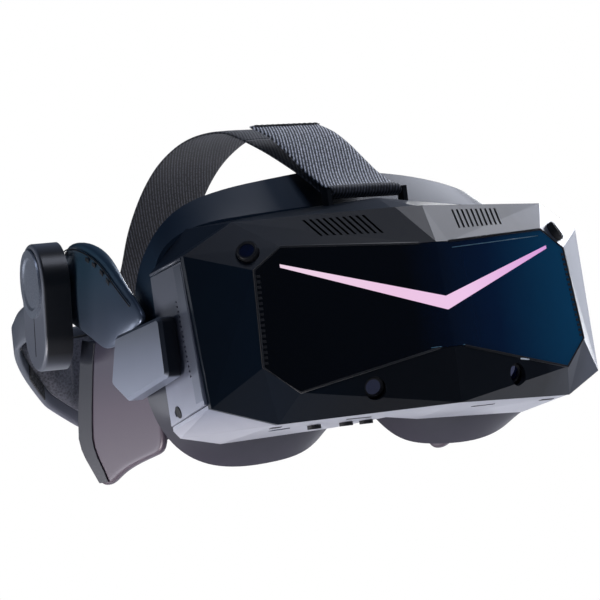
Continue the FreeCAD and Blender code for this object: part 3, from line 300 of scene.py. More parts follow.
grainedFinishes = {
    # nylon and ABS, injection moulded: near black with a faint spark-eroded grain
    "blackNylonMoulded": {"sockets": {"Roughness": 0.5}, "grain": 0.4, "relief": 0.02,
                          "stops": [(0.3, "#0b0c0e"), (0.7, "#1a1b1f")]},
    # silicone and TPE: wide dull highlight, slightly dusty
    "blackSiliconeMoulded": {"sockets": {"Roughness": 0.72, "Sheen Weight": 0.2}, "grain": 3.0,
                             "detail": 5.0, "relief": 0.03,
                             "stops": [(0.35, "#101114"), (0.75, "#1d1e22")]},
    # die cast magnesium, shot blasted: grey with 0.5 mm pits
    "magnesiumDieCastBlasted": {"sockets": {"Roughness": 0.55, "Metallic": 0.9}, "grain": 0.5,
                                "detail": 4.0, "relief": 0.04,
                                "stops": [(0.3, "#74777c"), (0.7, "#a6a9ae")]},
    # aluminium, turned and anodised: soft metal sheen, rings of 0.35 mm drawn at 0.9 mm
    "aluminiumTurnedAnodised": {"sockets": {"Roughness": 0.36, "Metallic": 0.5}, "grain": 0.9,
                                "relief": 0.006, "stops": [(0.3, "#6c737e"), (0.7, "#8b929e")]},
    # cut brass: warm and bright, tool marks drawn at 0.8 mm
    "brassCut": {"sockets": {"Roughness": 0.3, "Metallic": 1.0}, "grain": 0.8, "relief": 0.01,
                 "stops": [(0.3, "#b08a45"), (0.7, "#d9b46a")]},
    # extruded aluminium: pale, even and slightly streaked
    "aluminiumExtruded": {"sockets": {"Roughness": 0.35, "Metallic": 1.0}, "grain": 0.8, "relief": 0.01,
                          "stops": [(0.3, "#a5a8ad"), (0.7, "#c6c9ce")]},
    # blackened perforated steel: dark with small glints
    "steelPerforatedBlackened": {"sockets": {"Roughness": 0.45, "Metallic": 1.0}, "grain": 0.6,
                                 "relief": 0.01, "stops": [(0.3, "#121316"), (0.7, "#26282c")]},
    # ground glass with an anti-reflection coat, which tints what it reflects blue-violet
    "opticalGlassPolishedCoated": {"sockets": {"Roughness": 0.04, "IOR": 1.52, "Coat Weight": 1.0,
                                               "Coat Tint": hexColour("#8fa4ff")},
                                   "grain": 6.0, "stops": [(0.3, "#050b14"), (0.8, "#0e2233")]},
    # display under polished cover glass: black when off
    "displayPanelPolished": {"sockets": {"Roughness": 0.1}, "grain": 5.0,
                             "stops": [(0.3, "#04050a"), (0.7, "#0b0d18")]},
    # milky polycarbonate strips lit from within, one bright and one dim
    "milkyPolycarbonateLit": {"sockets": {"Roughness": 0.4}, "grain": 8.0, "glow": 0.15,
                              "stops": [(0.2, "#c9d3da"), (0.8, "#eef3f7")]},
    "milkyPolycarbonateDim": {"sockets": {"Roughness": 0.4}, "grain": 8.0, "glow": 0.15,
                              "stops": [(0.2, "#3c6478"), (0.8, "#55809a")]},
    # floor paint, rolled: chalky, with broad soft clouds
    "paleFloorPaintRolled": {"sockets": {"Roughness": 0.9}, "grain": 60.0,
                             "stops": [(0.2, "#e6e6e8"), (0.8, "#efeff1")]},
}
for name, s in grainedFinishes.items():
    looks[name] = grainedFinish(name, s)


def groundSteel():
    # stainless steel, ground: bright with fine streaks across X
    material, tree, surface = startMaterial("stainlessSteelGround", {"Roughness": 0.26, "Metallic": 1.0})
    where = addNode(tree, "ShaderNodeTexCoord")
    squeeze = addNode(tree, "ShaderNodeMapping", {"Scale": (4.0, 1.0, 1.0)},
                      {"Vector": where.outputs["Object"]})
    streak = addNode(tree, "ShaderNodeTexNoise", {"Scale": 900.0}, {"Vector": squeeze.outputs[0]})
    ramp = addNode(tree, "ShaderNodeValToRGB", {"stops": [(0.3, "#9a9ca1"), (0.7, "#c9ccd1")]},
                   {"Fac": streak.outputs["Fac"]})
    relief = addNode(tree, "ShaderNodeBump", {"Distance": mm(0.01)}, {"Height": streak.outputs["Fac"]})
    tree.links.new(ramp.outputs["Color"], surface.inputs["Base Color"])
    tree.links.new(relief.outputs["Normal"], surface.inputs["Normal"])
    return material


def solderResist():
    # glass-epoxy board under green resist, with its tracks 5.5 mm apart
    material, tree, surface = startMaterial("glassEpoxyGreenResist", {"Roughness": 0.35})
    where = addNode(tree, "ShaderNodeTexCoord")
    tracks = addNode(tree, "ShaderNodeTexBrick", {"Scale": 180.0, "Color1": hexColour("#0b3a22"),
                     "Color2": hexColour("#0e4a2b"), "Mortar": hexColour("#a98c4a"),
                     "Mortar Size": 0.012}, {"Vector": where.outputs["Object"]})
    tree.links.new(tracks.outputs["Color"], surface.inputs["Base Color"])
    return material


def knitOverFoam():
    # polyester knit laminated to foam: stitches 0.9 mm apart, drawn at 1.6 mm
    material, tree, surface = startMaterial("polyesterKnitOverFoam", {
        "Roughness": 0.85, "Sheen Weight": 0.5, "Sheen Roughness": 0.4})
    where = addNode(tree, "ShaderNodeTexCoord")
    cells = addNode(tree, "ShaderNodeTexVoronoi", {"Scale": 1000 / 1.6},
                    {"Vector": where.outputs["Object"]})
    wear = addNode(tree, "ShaderNodeTexNoise", {"Scale": 1000 / 25, "Detail": 2.0},
                   {"Vector": where.outputs["Object"]})
    blend = addNode(tree, "ShaderNodeMath", {"operation": "MULTIPLY_ADD", 1: 0.5},
                    {0: cells.outputs["Distance"], 2: wear.outputs["Fac"]})
    ramp = addNode(tree, "ShaderNodeValToRGB", {"stops": [(0.4, "#1a1b21"), (0.95, "#585963")]},
                   {"Fac": blend.outputs[0]})
    relief = addNode(tree, "ShaderNodeBump", {"Distance": mm(0.25)}, {"Height": cells.outputs["Distance"]})
    tree.links.new(ramp.outputs["Color"], surface.inputs["Base Color"])
    tree.links.new(relief.outputs["Normal"], surface.inputs["Normal"])
    return material


def wovenWebbing(name, dark, middle, pale):
    # polyester webbing, twill woven from dark and pale yarn 1.1 mm apart, drawn at 1.9 mm
    material, tree, surface = startMaterial(name, {"Roughness": 0.8, "Sheen Weight": 0.3,
                                                   "Sheen Roughness": 0.5})
    where = addNode(tree, "ShaderNodeTexCoord")
    twill = addNode(tree, "ShaderNodeMapping", {"Rotation": (0, 0, radians(24))},
                    {"Vector": where.outputs["UV"]})
    ribs = addNode(tree, "ShaderNodeTexWave", {"Scale": 2 * pi / 20 / mm(1.9), "Distortion": 1.3,
                   "Detail": 2.0, "Detail Scale": 3.0}, {"Vector": twill.outputs[0]})
    yarn = addNode(tree, "ShaderNodeTexNoise", {"Scale": 520.0, "Detail": 3.0},
                   {"Vector": where.outputs["UV"]})
    mix = addNode(tree, "ShaderNodeMath", {"operation": "MULTIPLY"},
                  {0: ribs.outputs["Fac"], 1: yarn.outputs["Fac"]})
    ramp = addNode(tree, "ShaderNodeValToRGB", {"stops": [(0.08, dark), (0.28, middle), (0.5, pale)]},
                   {"Fac": mix.outputs[0]})
    relief = addNode(tree, "ShaderNodeBump", {"Distance": mm(0.3)}, {"Height": mix.outputs[0]})
    tree.links.new(ramp.outputs["Color"], surface.inputs["Base Color"])
    tree.links.new(relief.outputs["Normal"], surface.inputs["Normal"])
    return material


def hookTape():
    # nylon hook tape: black, with rows of hooks 1.5 mm apart
    material, tree, surface = startMaterial("nylonHookTape", {"Roughness": 0.7, "Sheen Weight": 0.3})
    where = addNode(tree, "ShaderNodeTexCoord")
    rows = addNode(tree, "ShaderNodeTexVoronoi", {"Scale": 1000 / 1.5}, {"Vector": where.outputs["Object"]})
    ramp = addNode(tree, "ShaderNodeValToRGB", {"stops": [(0.1, "#2a2a2f"), (0.6, "#0b0b0d")]},
                   {"Fac": rows.outputs["Distance"]})
    relief = addNode(tree, "ShaderNodeBump", {"Distance": mm(0.5)}, {"Height": rows.outputs["Distance"]})
    tree.links.new(ramp.outputs["Color"], surface.inputs["Base Color"])
    tree.links.new(relief.outputs["Normal"], surface.inputs["Normal"])
    return material


black = looks["blackNylonMoulded"]
rubber = looks["blackSiliconeMoulded"]
glow = looks["milkyPolycarbonateLit"]
knit = knitOverFoam()
webbing = wovenWebbing("polyesterWebbingTwillWoven", "#07080c", "#16171d", "#4f515b")
paleWebbing = wovenWebbing("polyesterWebbingTwillPale", "#0c0d12", "#646873", "#f6f8ff")
hooks = hookTape()

slotLooks = {
    "bezel_plastic": looks["bezelSatinPaintedLight"], "front_glass": looks["window"],
    "status_light": looks["diffuser"], "shell_plastic": looks["crownSatinPaintedLight"],
    "pale_shell_plastic": looks["paleSatinPaintedLight"], "cast_magnesium": looks["magnesiumDieCastBlasted"],
    "bright_steel": groundSteel(), "circuit_board": solderResist(),
    "heat_sink_aluminium": looks["aluminiumExtruded"], "black_plastic": black,
    "lens_glass": looks["opticalGlassPolishedCoated"], "display_panel": looks["displayPanelPolished"],
    "cushion_fabric": knit, "soft_rubber": rubber, "strap_webbing": webbing,
    "block_plastic": looks["blockSatinPaintedShade"], "arm_plastic": looks["armSatinPaintedLight"],
    "wing_plastic": looks["wingSatinPaintedShade"], "pod_plastic": looks["podSatinPaintedShade"],
    "pod_cap_metal": looks["aluminiumTurnedAnodised"], "grille_steel": looks["steelPerforatedBlackened"],
    "pinion_brass": looks["brassCut"], "nylon_rack": looks["naturalNylonMoulded"],
}
ownLooks = {"face_shroud": looks["shroudSatinPaintedLight"], "strap_loop": black,
            "headphone_hubs": looks["podSatinPaintedShade"]}
for part in frame["record"]["subparts"]:
    look = ownLooks.get(part["node"], slotLooks[part["material_slot"]])
    data = nodes[part["node"]].data
    if not data.materials:
        data.materials.append(look)
    for i in range(len(data.materials)):
        data.materials[i] = look
print("materials ready")


def makePiece(name, points, faces, look, body, levels=0, bevel=0.0):
    data = bpy.data.meshes.new(name)
    data.from_pydata([tuple(p) for p in points], [], faces)
    data.validate()
    piece = bpy.data.objects.new(name, data)
    bpy.context.scene.collection.objects.link(piece)
    data.materials.append(look)
    for face in data.polygons:
        face.use_smooth = True
    if bevel:
        rounding = piece.modifiers.new("roundEdges", "BEVEL")
        rounding.width = mm(bevel)
        rounding.segments = 3
        rounding.limit_method = "ANGLE"
        rounding.angle_limit = radians(35)
        rounding.harden_normals = True
    if levels:
        finer = piece.modifiers.new("smoothSurface", "SUBSURF")
        finer.levels = levels
        finer.render_levels = levels
    settle(piece)
    if body:
        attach(piece, body)
    return piece


def settle(piece):
    # applies the modifiers, so that what is seen is the mesh itself
    graph = bpy.context.evaluated_depsgraph_get()
    done = bpy.data.meshes.new_from_object(piece.evaluated_get(graph))
    piece.modifiers.clear()
    piece.data = done


def ringFaces(ringCount, pointCount, loop=False):
    faces = []
    last = ringCount if loop else ringCount - 1
    for i in range(last):
        for j in range(pointCount):
            a = i * pointCount + j
            b = i * pointCount + (j + 1) % pointCount
            c = ((i + 1) % ringCount) * pointCount + (j + 1) % pointCount
            d = ((i + 1) % ringCount) * pointCount + j
            faces.append((a, b, c, d))
    if not loop:  # close both ends
        faces.append(tuple(range(pointCount))[::-1])
        faces.append(tuple((ringCount - 1) * pointCount + j for j in range(pointCount)))
    return faces


def loft(name, rings, look, body, levels=1, loop=False, bevel=0.0):
    points = [p for ring in rings for p in ring]
    faces = ringFaces(len(rings), len(rings[0]), loop=loop)
    return makePiece(name, points, faces, look, body, levels, bevel)


def smoothPath(points, steps):
    # Catmull-Rom line through the points, with steps samples a stretch
    padded = [points[0] * 2 - points[1]] + list(points) + [points[-1] * 2 - points[-2]]
    line = []
    for i in range(1, len(padded) - 2):
        a, b, c, d = padded[i - 1:i + 3]
        for k in range(steps):
            u = k / steps
            line.append((b * 2 + (c - a) * u + (a * 2 - b * 5 + c * 4 - d) * u * u
                         + (b * 3 - a - c * 3 + d) * u ** 3) / 2)
    line.append(points[-1])
    return line


def slab(outline, way, thickness, look, name, body, bevel=1.0):
    # a flat or nearly flat outline given thickness along way
    count = len(outline)
    points = list(outline) + [p + way * thickness for p in outline]
    faces = [tuple(range(count))[::-1], tuple(range(count, 2 * count))]
    for i in range(count):
        j = (i + 1) % count
        faces.append((i, j, count + j, count + i))
    return makePiece(name, points, faces, look, body, 0, bevel)


def tube(name, path, radius, look, body, sides=8, loop=False):
    rings = []
    for i, place in enumerate(path):
        ahead = path[(i + 1) % len(path)] if loop else path[min(i + 1, len(path) - 1)]
        behind = path[i - 1] if loop or i else path[0]
        along = (ahead - behind).normalized()
        side = along.orthogonal().normalized() if abs(along.x) > 0.9 else \
            along.cross(Vector((1, 0, 0))).normalized()
        up = along.cross(side)
        rings.append([place + (side * cos(a) + up * sin(a)) * radius
                      for a in (2 * pi * k / sides for k in range(sides))])
    return loft(name, rings, look, body, levels=0, loop=loop)


cushionSettings = {"halfWidth": 87.2, "halfHeight": 55.2, "power": 2.6, "centreZ": 86.0, "frontY": 108.2,
                   "width": 15.6, "depth": 15.4, "noseAngle": 8.5, "steps": 96}


def ovalPoint(angle, halfWidth, halfHeight, power):
    c = cos(angle)
    s = sin(angle)
    x = halfWidth * abs(c) ** (2 / power) * (1 if c >= 0 else -1)
    z = halfHeight * abs(s) ** (2 / power) * (1 if s >= 0 else -1)
    return x, z


def faceCushion():
    s = cushionSettings
    start = -90 + s["noseAngle"]
    end = 270 - s["noseAngle"]
    rings = []
    seam = []
    for i in range(s["steps"] + 1):
        share = i / s["steps"]
        angle = radians(start + (end - start) * share)
        x, z = ovalPoint(angle, s["halfWidth"], s["halfHeight"], s["power"])
        nearX, nearZ = ovalPoint(angle + 0.02, s["halfWidth"], s["halfHeight"], s["power"])
        along = Vector((nearX - x, 0, nearZ - z)).normalized()
        out = Vector((along.z, 0, -along.x))
        # the ends close down like a sewn tip, and the padding swells between stitches
        tip = min(1.0, 0.72 + 5.0 * min(share, 1 - share))
        swell = 1.0 - 0.03 * abs(cos(share * pi * 14))
        half = s["width"] / 2 * tip
        depth = s["depth"] * tip * swell
        ring = []
        for u, v in ((-0.92, 0.0), (-1.0, 0.3), (-0.9, 0.66), (-0.55, 0.93), (0.0, 1.0),
                     (0.55, 0.93), (0.9, 0.66), (1.0, 0.3), (0.92, 0.0), (0.0, 0.0)):
            spot = at(x, s["frontY"] + v * depth, s["centreZ"] + z) + out * mm(u * half)
            ring.append(spot)
        rings.append(ring)
        seam.append(at(x, s["frontY"] + 0.36 * depth, s["centreZ"] + z) + out * mm(half * 0.99))
    piece = loft("faceCushion", rings, knit, "visor", levels=1)
    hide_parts("face_cushion")
    tube("faceCushionPiping", seam, mm(0.6), rubber, "visor", sides=6)


faceCushion()


wingPadSettings = {"innerX": 118.9, "height": 7.0,
                   "outline": [(128, 22), (128, 46), (129, 68), (150, 72), (163, 77), (180, 81), (196, 84),
                               (200, 75), (204, 66), (209, 48), (213, 30), (211, 21), (205, 14.5),
                               (191, 9), (171, 13.5), (152, 18), (140, 20)]}


def crownedPad(name, outline, place, height, body):
    # place(y, z, h) gives the point of the pad that stands h above its back
    centreY = sum(p[0] for p in outline) / len(outline)
    centreZ = sum(p[1] for p in outline) / len(outline)
    rings = []
    for share, rise in ((0.98, 0.0), (1.0, 0.28), (0.985, 0.5), (0.93, 0.74), (0.8, 0.9), (0.55, 0.98),
                        (0.25, 1.0)):
        rings.append([place(centreY + (y - centreY) * share, centreZ + (z - centreZ) * share,
                            height * rise) for y, z in outline])
    piece = loft(name, rings, knit, body, levels=2)
    path = [place(centreY + (y - centreY) * 0.995, centreZ + (z - centreZ) * 0.995, height * 0.4)
            for y, z in outline]
    tube(name + "Piping", smoothPath(path + path[:1], 4), mm(0.55), rubber, body, sides=6)
    return piece


def wingPads():
    made = []
    for side, word in ((1, "Left"), (-1, "Right")):
        made.append(crownedPad("wingPad" + word, wingPadSettings["outline"],
                               lambda y, z, h: at(side * (wingPadSettings["innerX"] - h), y, z),
                               wingPadSettings["height"], "head_frame"))
    for piece in made:
        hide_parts("wing_pads")


wingPads()
print("cushion and pads made")


wingSettings = {"innerX": 119.0, "outerX": 124.0, "centre": (175.0, 45.0),
                "outline": [(120, 15), (120, 45), (121, 71), (136, 74), (150, 76), (163, 81), (184, 86),
                            (202, 89.6), (207, 79), (211, 68), (216, 52), (219, 41), (221, 30), (219, 23),
                            (215, 16.5), (208, 8.5), (201, 0.6), (195, -0.3), (188, 0.2), (177, 5.0),
                            (162, 8.7), (148, 11), (134, 13)],
                # the web that joins the wing to the block beside the visor
                "webX": 123.8, "web": [(119, 58), (126, 58), (126, 78), (119, 78)], "webWidth": 17.0,
                # the darker band along the rear edge, standing slightly proud of the wing
                "bandX": 123.6, "bandHeight": 1.2,
                "bandRear": [(202, 88.5), (206.4, 79), (210.4, 67), (215.2, 52), (218.2, 41), (220.2, 30),
                             (218.2, 23), (214.3, 17), (207.4, 9), (201, 1.6)],
                "bandFront": [(187, 85), (191, 76), (194.5, 65), (198.6, 50), (201.5, 38), (203, 29),
                              (202, 23), (199, 16.5), (193.5, 8.6), (189.5, 1.6)]}


def sideWing(side, word):
    s = wingSettings
    out = Vector((side, 0, 0))
    centreY, centreZ = s["centre"]
    rings = []
    # from the inner face round the edge to the outer face
    for share, depth in ((0.6, 0.0), (0.97, 0.0), (1.0, 0.25), (1.0, 0.75), (0.975, 1.0), (0.9, 1.0),
                         (0.6, 1.0)):
        ring = []
        for y, z in s["outline"]:
            x = s["innerX"] + (s["outerX"] - s["innerX"]) * depth
            ring.append(at(side * x, centreY + (y - centreY) * share, centreZ + (z - centreZ) * share))
        rings.append(ring)
    loft("sideWing" + word, rings, looks["wingSatinPaintedShade"], "head_frame", levels=2)
    web = [at(side * s["webX"], y, z) for y, z in s["web"]]
    slab(web, out, mm(s["webWidth"]), looks["blockSatinPaintedShade"], "wingWeb" + word, "head_frame",
         bevel=1.2)
    band = [at(side * s["bandX"], y, z) for y, z in s["bandRear"] + s["bandFront"][::-1]]
    slab(band, out, mm(s["bandHeight"]), looks["bandPaintSatin"], "wingBand" + word, "head_frame",
         bevel=0.5)


armSettings = {
    # upper and lower edge on the outer face, and the inner face's distance from the middle
    "stations": [((147.0, 86.0, 88.5), (146.5, 106.0, 82.0), 141.6),
                 ((146.2, 98.4, 101.0), (145.0, 129.0, 77.5), 141.4),
                 ((144.2, 116.0, 115.6), (142.0, 147.0, 77.8), 138.8),
                 ((140.8, 137.0, 131.2), (138.0, 163.0, 84.0), 131.5),
                 ((137.4, 160.0, 141.4), (134.8, 183.0, 91.6), 126.5),
                 ((133.8, 183.0, 146.6), (132.2, 203.0, 99.4), 123.8),
                 ((129.2, 203.0, 145.0), (128.2, 213.0, 102.4), 119.8),
                 ((121.8, 221.0, 131.6), (121.2, 228.0, 101.6), 115.0),
                 ((114.2, 237.5, 119.6), (114.2, 238.5, 100.8), 110.9),
                 ((114.2, 256.0, 117.4), (114.2, 256.0, 101.0), 110.9),
                 ((114.2, 275.8, 116.8), (114.2, 275.8, 101.0), 110.9)],
    "bulge": 1.6,
    "windows": (2.35, 2.75, 3.3, 3.7, 5.2, 5.6),
}


def sideArm(side, word):
    s = armSettings
    rings = []
    rim = []
    last = len(s["stations"]) - 1
    for i, (upper, lower, innerX) in enumerate(s["stations"]):
        top = Vector(upper)
        low = Vector(lower)
        thick = top.x - innerX
        calm = 0.25 if i in (0, last) else 1.0
        ring = []
        for share in (0.0, 0.05, 0.35, 0.65, 0.95, 1.0):
            spot = low.lerp(top, share)
            spot.x += s["bulge"] * calm * (4 * share * (1 - share)) - (0.8 if share in (0.0, 1.0) else 0)
            ring.append(spot)
        for share in (1.0, 0.95, 0.5, 0.05, 0.0):
            spot = low.lerp(top, share)
            spot.x = innerX + (thick * 0.3 if share in (1.0, 0.0) else 0)
            ring.append(spot)
        rings.append([at(side * p.x, p.y, p.z) for p in ring])
        rim.append(low.lerp(top, 0.9) + Vector((0.95 * calm, 0, 0)))
    piece = loft("sideArm" + word, rings, looks["armSatinPaintedLight"], "head_frame", levels=2)
    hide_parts("side_arm_" + word.lower())
    # the rim groove and the vent windows are black pieces standing for the shade inside the recess and the
    # holes: painted shade
    line = smoothPath(rim[1:9], 12)
    groove = [at(side * (p.x + 0.1), p.y, p.z) for p in line]
    tube("armRimGroove" + word, groove, mm(0.45), black, "head_frame", sides=6)
    for k, where in enumerate(s["windows"]):
        near = line[int(where * 12) - 12]
        ahead = line[int(where * 12) - 10]
        along = (ahead - near).normalized()
        down = Vector((0, 0.35, -1)).normalized()
        corner = near + down * 1.2 + Vector((0.3, 0, 0))
        outline = [corner, corner + along * 5.0, corner + along * 5.0 + down * 2.4, corner + down * 2.4]
        slab([at(side * p.x, p.y, p.z) for p in outline], Vector((side, 0, 0)), mm(0.7), black,
             "armVent%s%d" % (word, k), "head_frame", bevel=0.3)


for side, word in ((1, "Left"), (-1, "Right")):
    sideWing(side, word)
    sideArm(side, word)
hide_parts("side_wings")
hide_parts("side_wings")
print("arms and wings made")


cradleSettings = {"halfWidth": 121.0, "centreY": 250.0, "reach": 105.0, "power": 3.5, "inset": 1.6,
                  "wall": 3.6, "steps": 72,
                  "edges": [(0, 31, 112), (28, 33, 110), (55, 41, 107), (80, 56, 104), (100, 78, 104),
                            (114, 93, 110), (121, 97.5, 121)]}


def cradleEdges(x):
    stations = cradleSettings["edges"]
    for (x0, low0, high0), (x1, low1, high1) in zip(stations, stations[1:]):
        if x0 <= abs(x) <= x1:
            share = (abs(x) - x0) / (x1 - x0)
            share = share * share * (3 - 2 * share) if x0 in (0, 114) else share
            return low0 + (low1 - low0) * share, high0 + (high1 - high0) * share
    return stations[-1][1:]


def cradlePoint(angle, inset, z, low, high):
    s = cradleSettings
    power = 2 / s["power"]
    x = (s["halfWidth"] - inset) * abs(sin(angle)) ** power * (1 if sin(angle) >= 0 else -1)
    y = s["centreY"] + (s["reach"] - inset) * max(cos(angle), 0.0) ** power
    lean = (0.06 * (high - low) + 0.04 * (z - low)) * max(cos(angle), 0.0)
    return at(x, y - lean, z)


def cradleRing(angle, inset, profile, lowTrim, highTrim):
    # profile gives points as (share of the height, depth into the cup)
    outX = (cradleSettings["halfWidth"] - cradleSettings["inset"]) * abs(sin(angle)) ** \
        (2 / cradleSettings["power"])
    low, high = cradleEdges(outX)
    ring = []
    for share, depth in profile:
        z = low + lowTrim + (high - highTrim - low - lowTrim) * share
        ring.append(cradlePoint(angle, inset + depth, z, low, high))
    return ring


def cradleShell():
    s = cradleSettings
    wall = s["wall"]
    profile = [(0.0, 0.35 * wall), (0.02, 0.05 * wall), (0.1, 0.0), (0.35, 0.0), (0.65, 0.0), (0.9, 0.0),
               (0.98, 0.05 * wall), (1.0, 0.35 * wall), (1.0, 0.7 * wall), (0.98, wall), (0.9, wall),
               (0.65, wall), (0.35, wall), (0.1, wall), (0.02, wall), (0.0, 0.7 * wall)]
    rings = []
    for i in range(s["steps"] + 1):
        angle = radians(-89.9 + 179.8 * i / s["steps"])
        rings.append(cradleRing(angle, s["inset"], profile, 0.2, 0.2))
    piece = loft("cradleCup", rings, looks["cupSatinPaintedShade"], "cradle", levels=1)
    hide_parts("cradle_shell")


cradlePadSettings = {"halfSpan": 57.5, "thickness": 8.8, "channels": 6, "channelDepth": 0.34,
                     "lowTrim": 8.0, "highTrim": 7.0, "gap": 0.35, "steps": 84}


def cradlePad():
    s = cradlePadSettings
    start = cradleSettings["inset"] + cradleSettings["wall"] + s["gap"]
    rings = []
    seam = []
    for i in range(s["steps"] + 1):
        share = i / s["steps"]
        angle = radians(-s["halfSpan"] + 2 * s["halfSpan"] * share)
        # sewn channels run up the pad, and the padding pulls in towards its two ends
        channel = 1 - s["channelDepth"] * abs(cos(share * pi * s["channels"])) ** 8
        end = min(1.0, 0.55 + 6 * min(share, 1 - share))
        thick = s["thickness"] * channel * end
        profile = [(0.02, 0.0), (0.0, 0.2 * thick), (0.03, 0.55 * thick), (0.14, 0.88 * thick),
                   (0.5, thick), (0.86, 0.88 * thick), (0.97, 0.55 * thick), (1.0, 0.2 * thick),
                   (0.98, 0.0), (0.5, 0.0)]
        rings.append(cradleRing(angle, start, profile, s["lowTrim"], s["highTrim"]))
        seam.append(cradleRing(angle, start, [(1.0, 0.3 * thick)], s["lowTrim"], s["highTrim"])[0])
    piece = loft("cradlePad", rings, knit, "cradle", levels=1)
    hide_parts("cradle_pad")
    tube("cradlePadPiping", seam, mm(0.7), rubber, "cradle", sides=6)


hookTapeSettings = {
    # name: (from and to in degrees round the cup, from and to as shares of its height)
    "hookTapeSideRight": ((-80, -62), (0.12, 0.72)), "hookTapeRearRight": ((-44, -33), (0.0, 0.97)),
    "hookTapeRearLeft": ((33, 44), (0.0, 0.97)), "hookTapeSideLeft": ((62, 80), (0.12, 0.72)),
}


def hookStrips():
    # hook tape on the inside of the cup, where the pad is pressed on
    start = cradleSettings["inset"] + cradleSettings["wall"]
    for name, (angles, shares) in hookTapeSettings.items():
        rings = []
        for i in range(13):
            angle = radians(angles[0] + (angles[1] - angles[0]) * i / 12)
            profile = [(shares[0], -0.02), (shares[0], 0.9), (shares[1], 0.9), (shares[1], -0.02)]
            rings.append(cradleRing(angle, start, profile, 0, 0))
        loft(name, rings, hooks, "cradle", levels=0, bevel=0.2)


cradleShell()
cradlePad()
hookStrips()
print("cradle made")


strapSettings = {
    "halfWidth": 24.4, "thickness": 2.0,
    "front": [(66.0, 150.4), (73.0, 153.2), (88.0, 163.6), (106.0, 174.4), (130.0, 187.4), (151.0, 197.4)],
    "rear": [(151.0, 197.4), (174.0, 206.2), (198.0, 209.4), (222.0, 208.6), (245.0, 203.6),
             (266.0, 195.0), (286.6, 181.0), (305.6, 162.0), (319.5, 141.0), (330.0, 128.0),
             (338.0, 122.6), (347.0, 121.6)],
    "tail": [(66.0, 156.15), (73.0, 158.8), (86.0, 166.8), (100.0, 178.0), (113.0, 188.4),
             (128.0, 198.0), (144.5, 205.2)],
    # the fold round the wire loop joins the lower layer to the tail
    "fold": [(67.5, 150.6), (64.6, 150.8), (63.2, 152.2), (63.0, 153.6), (63.6, 155.0), (65.0, 156.0),
             (67.2, 156.8)],
    # two rows of stitching near the end of the tail
    "stitchRows": [(141.6, 205.3), (139.4, 204.4)], "stitchHalfWidth": 23, "stitches": 24,
    "selvedge": 0.5, "hem": 2.2,
}


def strapPiece(name, path, look=webbing):
    s = strapSettings
    half = s["halfWidth"]
    line = smoothPath([Vector((0, y, z)) for y, z in path], 10)
    points = []
    lengths = []
    travelled = 0.0
    flat = [-half + s["hem"] + 2 * (half - s["hem"]) * k / 6 for k in range(7)]
    widths = [-half, -half + s["selvedge"], *flat, half - s["selvedge"], half]
    for i, place in enumerate(line):
        ahead = line[min(i + 1, len(line) - 1)]
        behind = line[max(i - 1, 0)]
        travelled += (place - behind).length if i else 0
        along = (ahead - behind).normalized()
        up = Vector((0, -along.z, along.y))
        # the selvedges are pulled tighter than the middle, so they curl down a little
        for layer in (1, -1):
            for x in (widths if layer == 1 else widths[::-1]):
                edge = abs(x) / half
                shape = 0.5 * s["thickness"] * (1 - 0.55 * edge ** 14)
                sag = 0.25 * edge ** 4
                spot = place + up * (layer * shape - sag)
                points.append(at(x, spot.y, spot.z))
        lengths.append(travelled)
    count = 2 * len(widths)
    faces = ringFaces(len(line), count)
    piece = makePiece(name, points, faces, look, None)
    layer = piece.data.uv_layers.new(name="UVMap")
    for loop in piece.data.loops:
        row, column = divmod(loop.vertex_index, count)
        x = (widths + widths[::-1])[column]
        layer.data[loop.index].uv = (mm(x), mm(lengths[row]))
    return piece


def topStrap():
    s = strapSettings
    front = strapPiece("topStrapFront", s["front"])
    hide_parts("top_strap_front")
    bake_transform(front)
    rear = strapPiece("topStrapRear", s["rear"])
    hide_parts("top_strap_rear")
    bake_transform(rear)
    tail = strapPiece("topStrapTail", s["tail"], paleWebbing)
    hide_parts("strap_tail")
    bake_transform(tail)
    bend = strapPiece("topStrapFold", s["fold"])
    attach(bend, "visor")
    for k, (y, z) in enumerate(s["stitchRows"]):
        half = s["stitchHalfWidth"]
        row = [at(-half + 2 * half * i / s["stitches"], y, z + 0.25 * (i % 2))
               for i in range(s["stitches"] + 1)]
        stitch = tube("topStrapStitch%d" % k, row, mm(0.35), black, None, sides=5)
        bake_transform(stitch)


topStrap()
print("strap made")


def frontPlane(x, z, proud=0.0):
    # the plane of the glass on either wing, and proud millimetres in front of it
    return at(x, -2.1 + 0.23 * abs(x) + 0.09 * (z - 84) - proud, z)


sealSettings = {
    "corners": [(10.5, 114.3), (91.6, 119.4), (108.9, 107.4), (112.8, 52.6), (94.0, 36.5), (8.9, 53.4)],
    "radius": 0.7, "proud": 0.15,
    # the teeth run down the outer edge from toothTop, and each is as long and tall as these say
    "teeth": 17, "toothTop": (108.6, 106.0), "toothRun": (3.7, -52.0), "toothSpan": (2.6, 0.4),
    "toothTall": 1.5, "toothHeight": 0.35,
}


def windowSeal():
    # black rubber seal round the glass, thicker and toothed on the outer edges
    s = sealSettings
    far, near = s["toothSpan"]
    for side, word in ((1, "Left"), (-1, "Right")):
        path = [frontPlane(side * x, z, s["proud"]) for x, z in s["corners"]]
        tube("windowSeal" + word, path, mm(s["radius"]), rubber, "visor", sides=6)
        for i in range(s["teeth"]):
            share = (i + 0.5) / s["teeth"]
            x = s["toothTop"][0] + s["toothRun"][0] * share
            top = s["toothTop"][1] + s["toothRun"][1] * share
            low = top - s["toothTall"]
            tooth = [frontPlane(side * (x - far), top, 0.1), frontPlane(side * (x - near), top, 0.1),
                     frontPlane(side * (x - near), low, 0.1), frontPlane(side * (x - far), low, 0.1)]
            slab(tooth, Vector((0, -1, 0)), mm(s["toothHeight"]), rubber, "sealTooth%s%d" % (word, i),
                 "visor", bevel=0.15)


lightLineSettings = {"topLightLine": [(12.5, 110.6), (50.0, 113.0), (88.5, 115.5)],
                     "lowLightLine": [(-14.0, 53.9), (-8.9, 54.0), (8.9, 54.0)]}


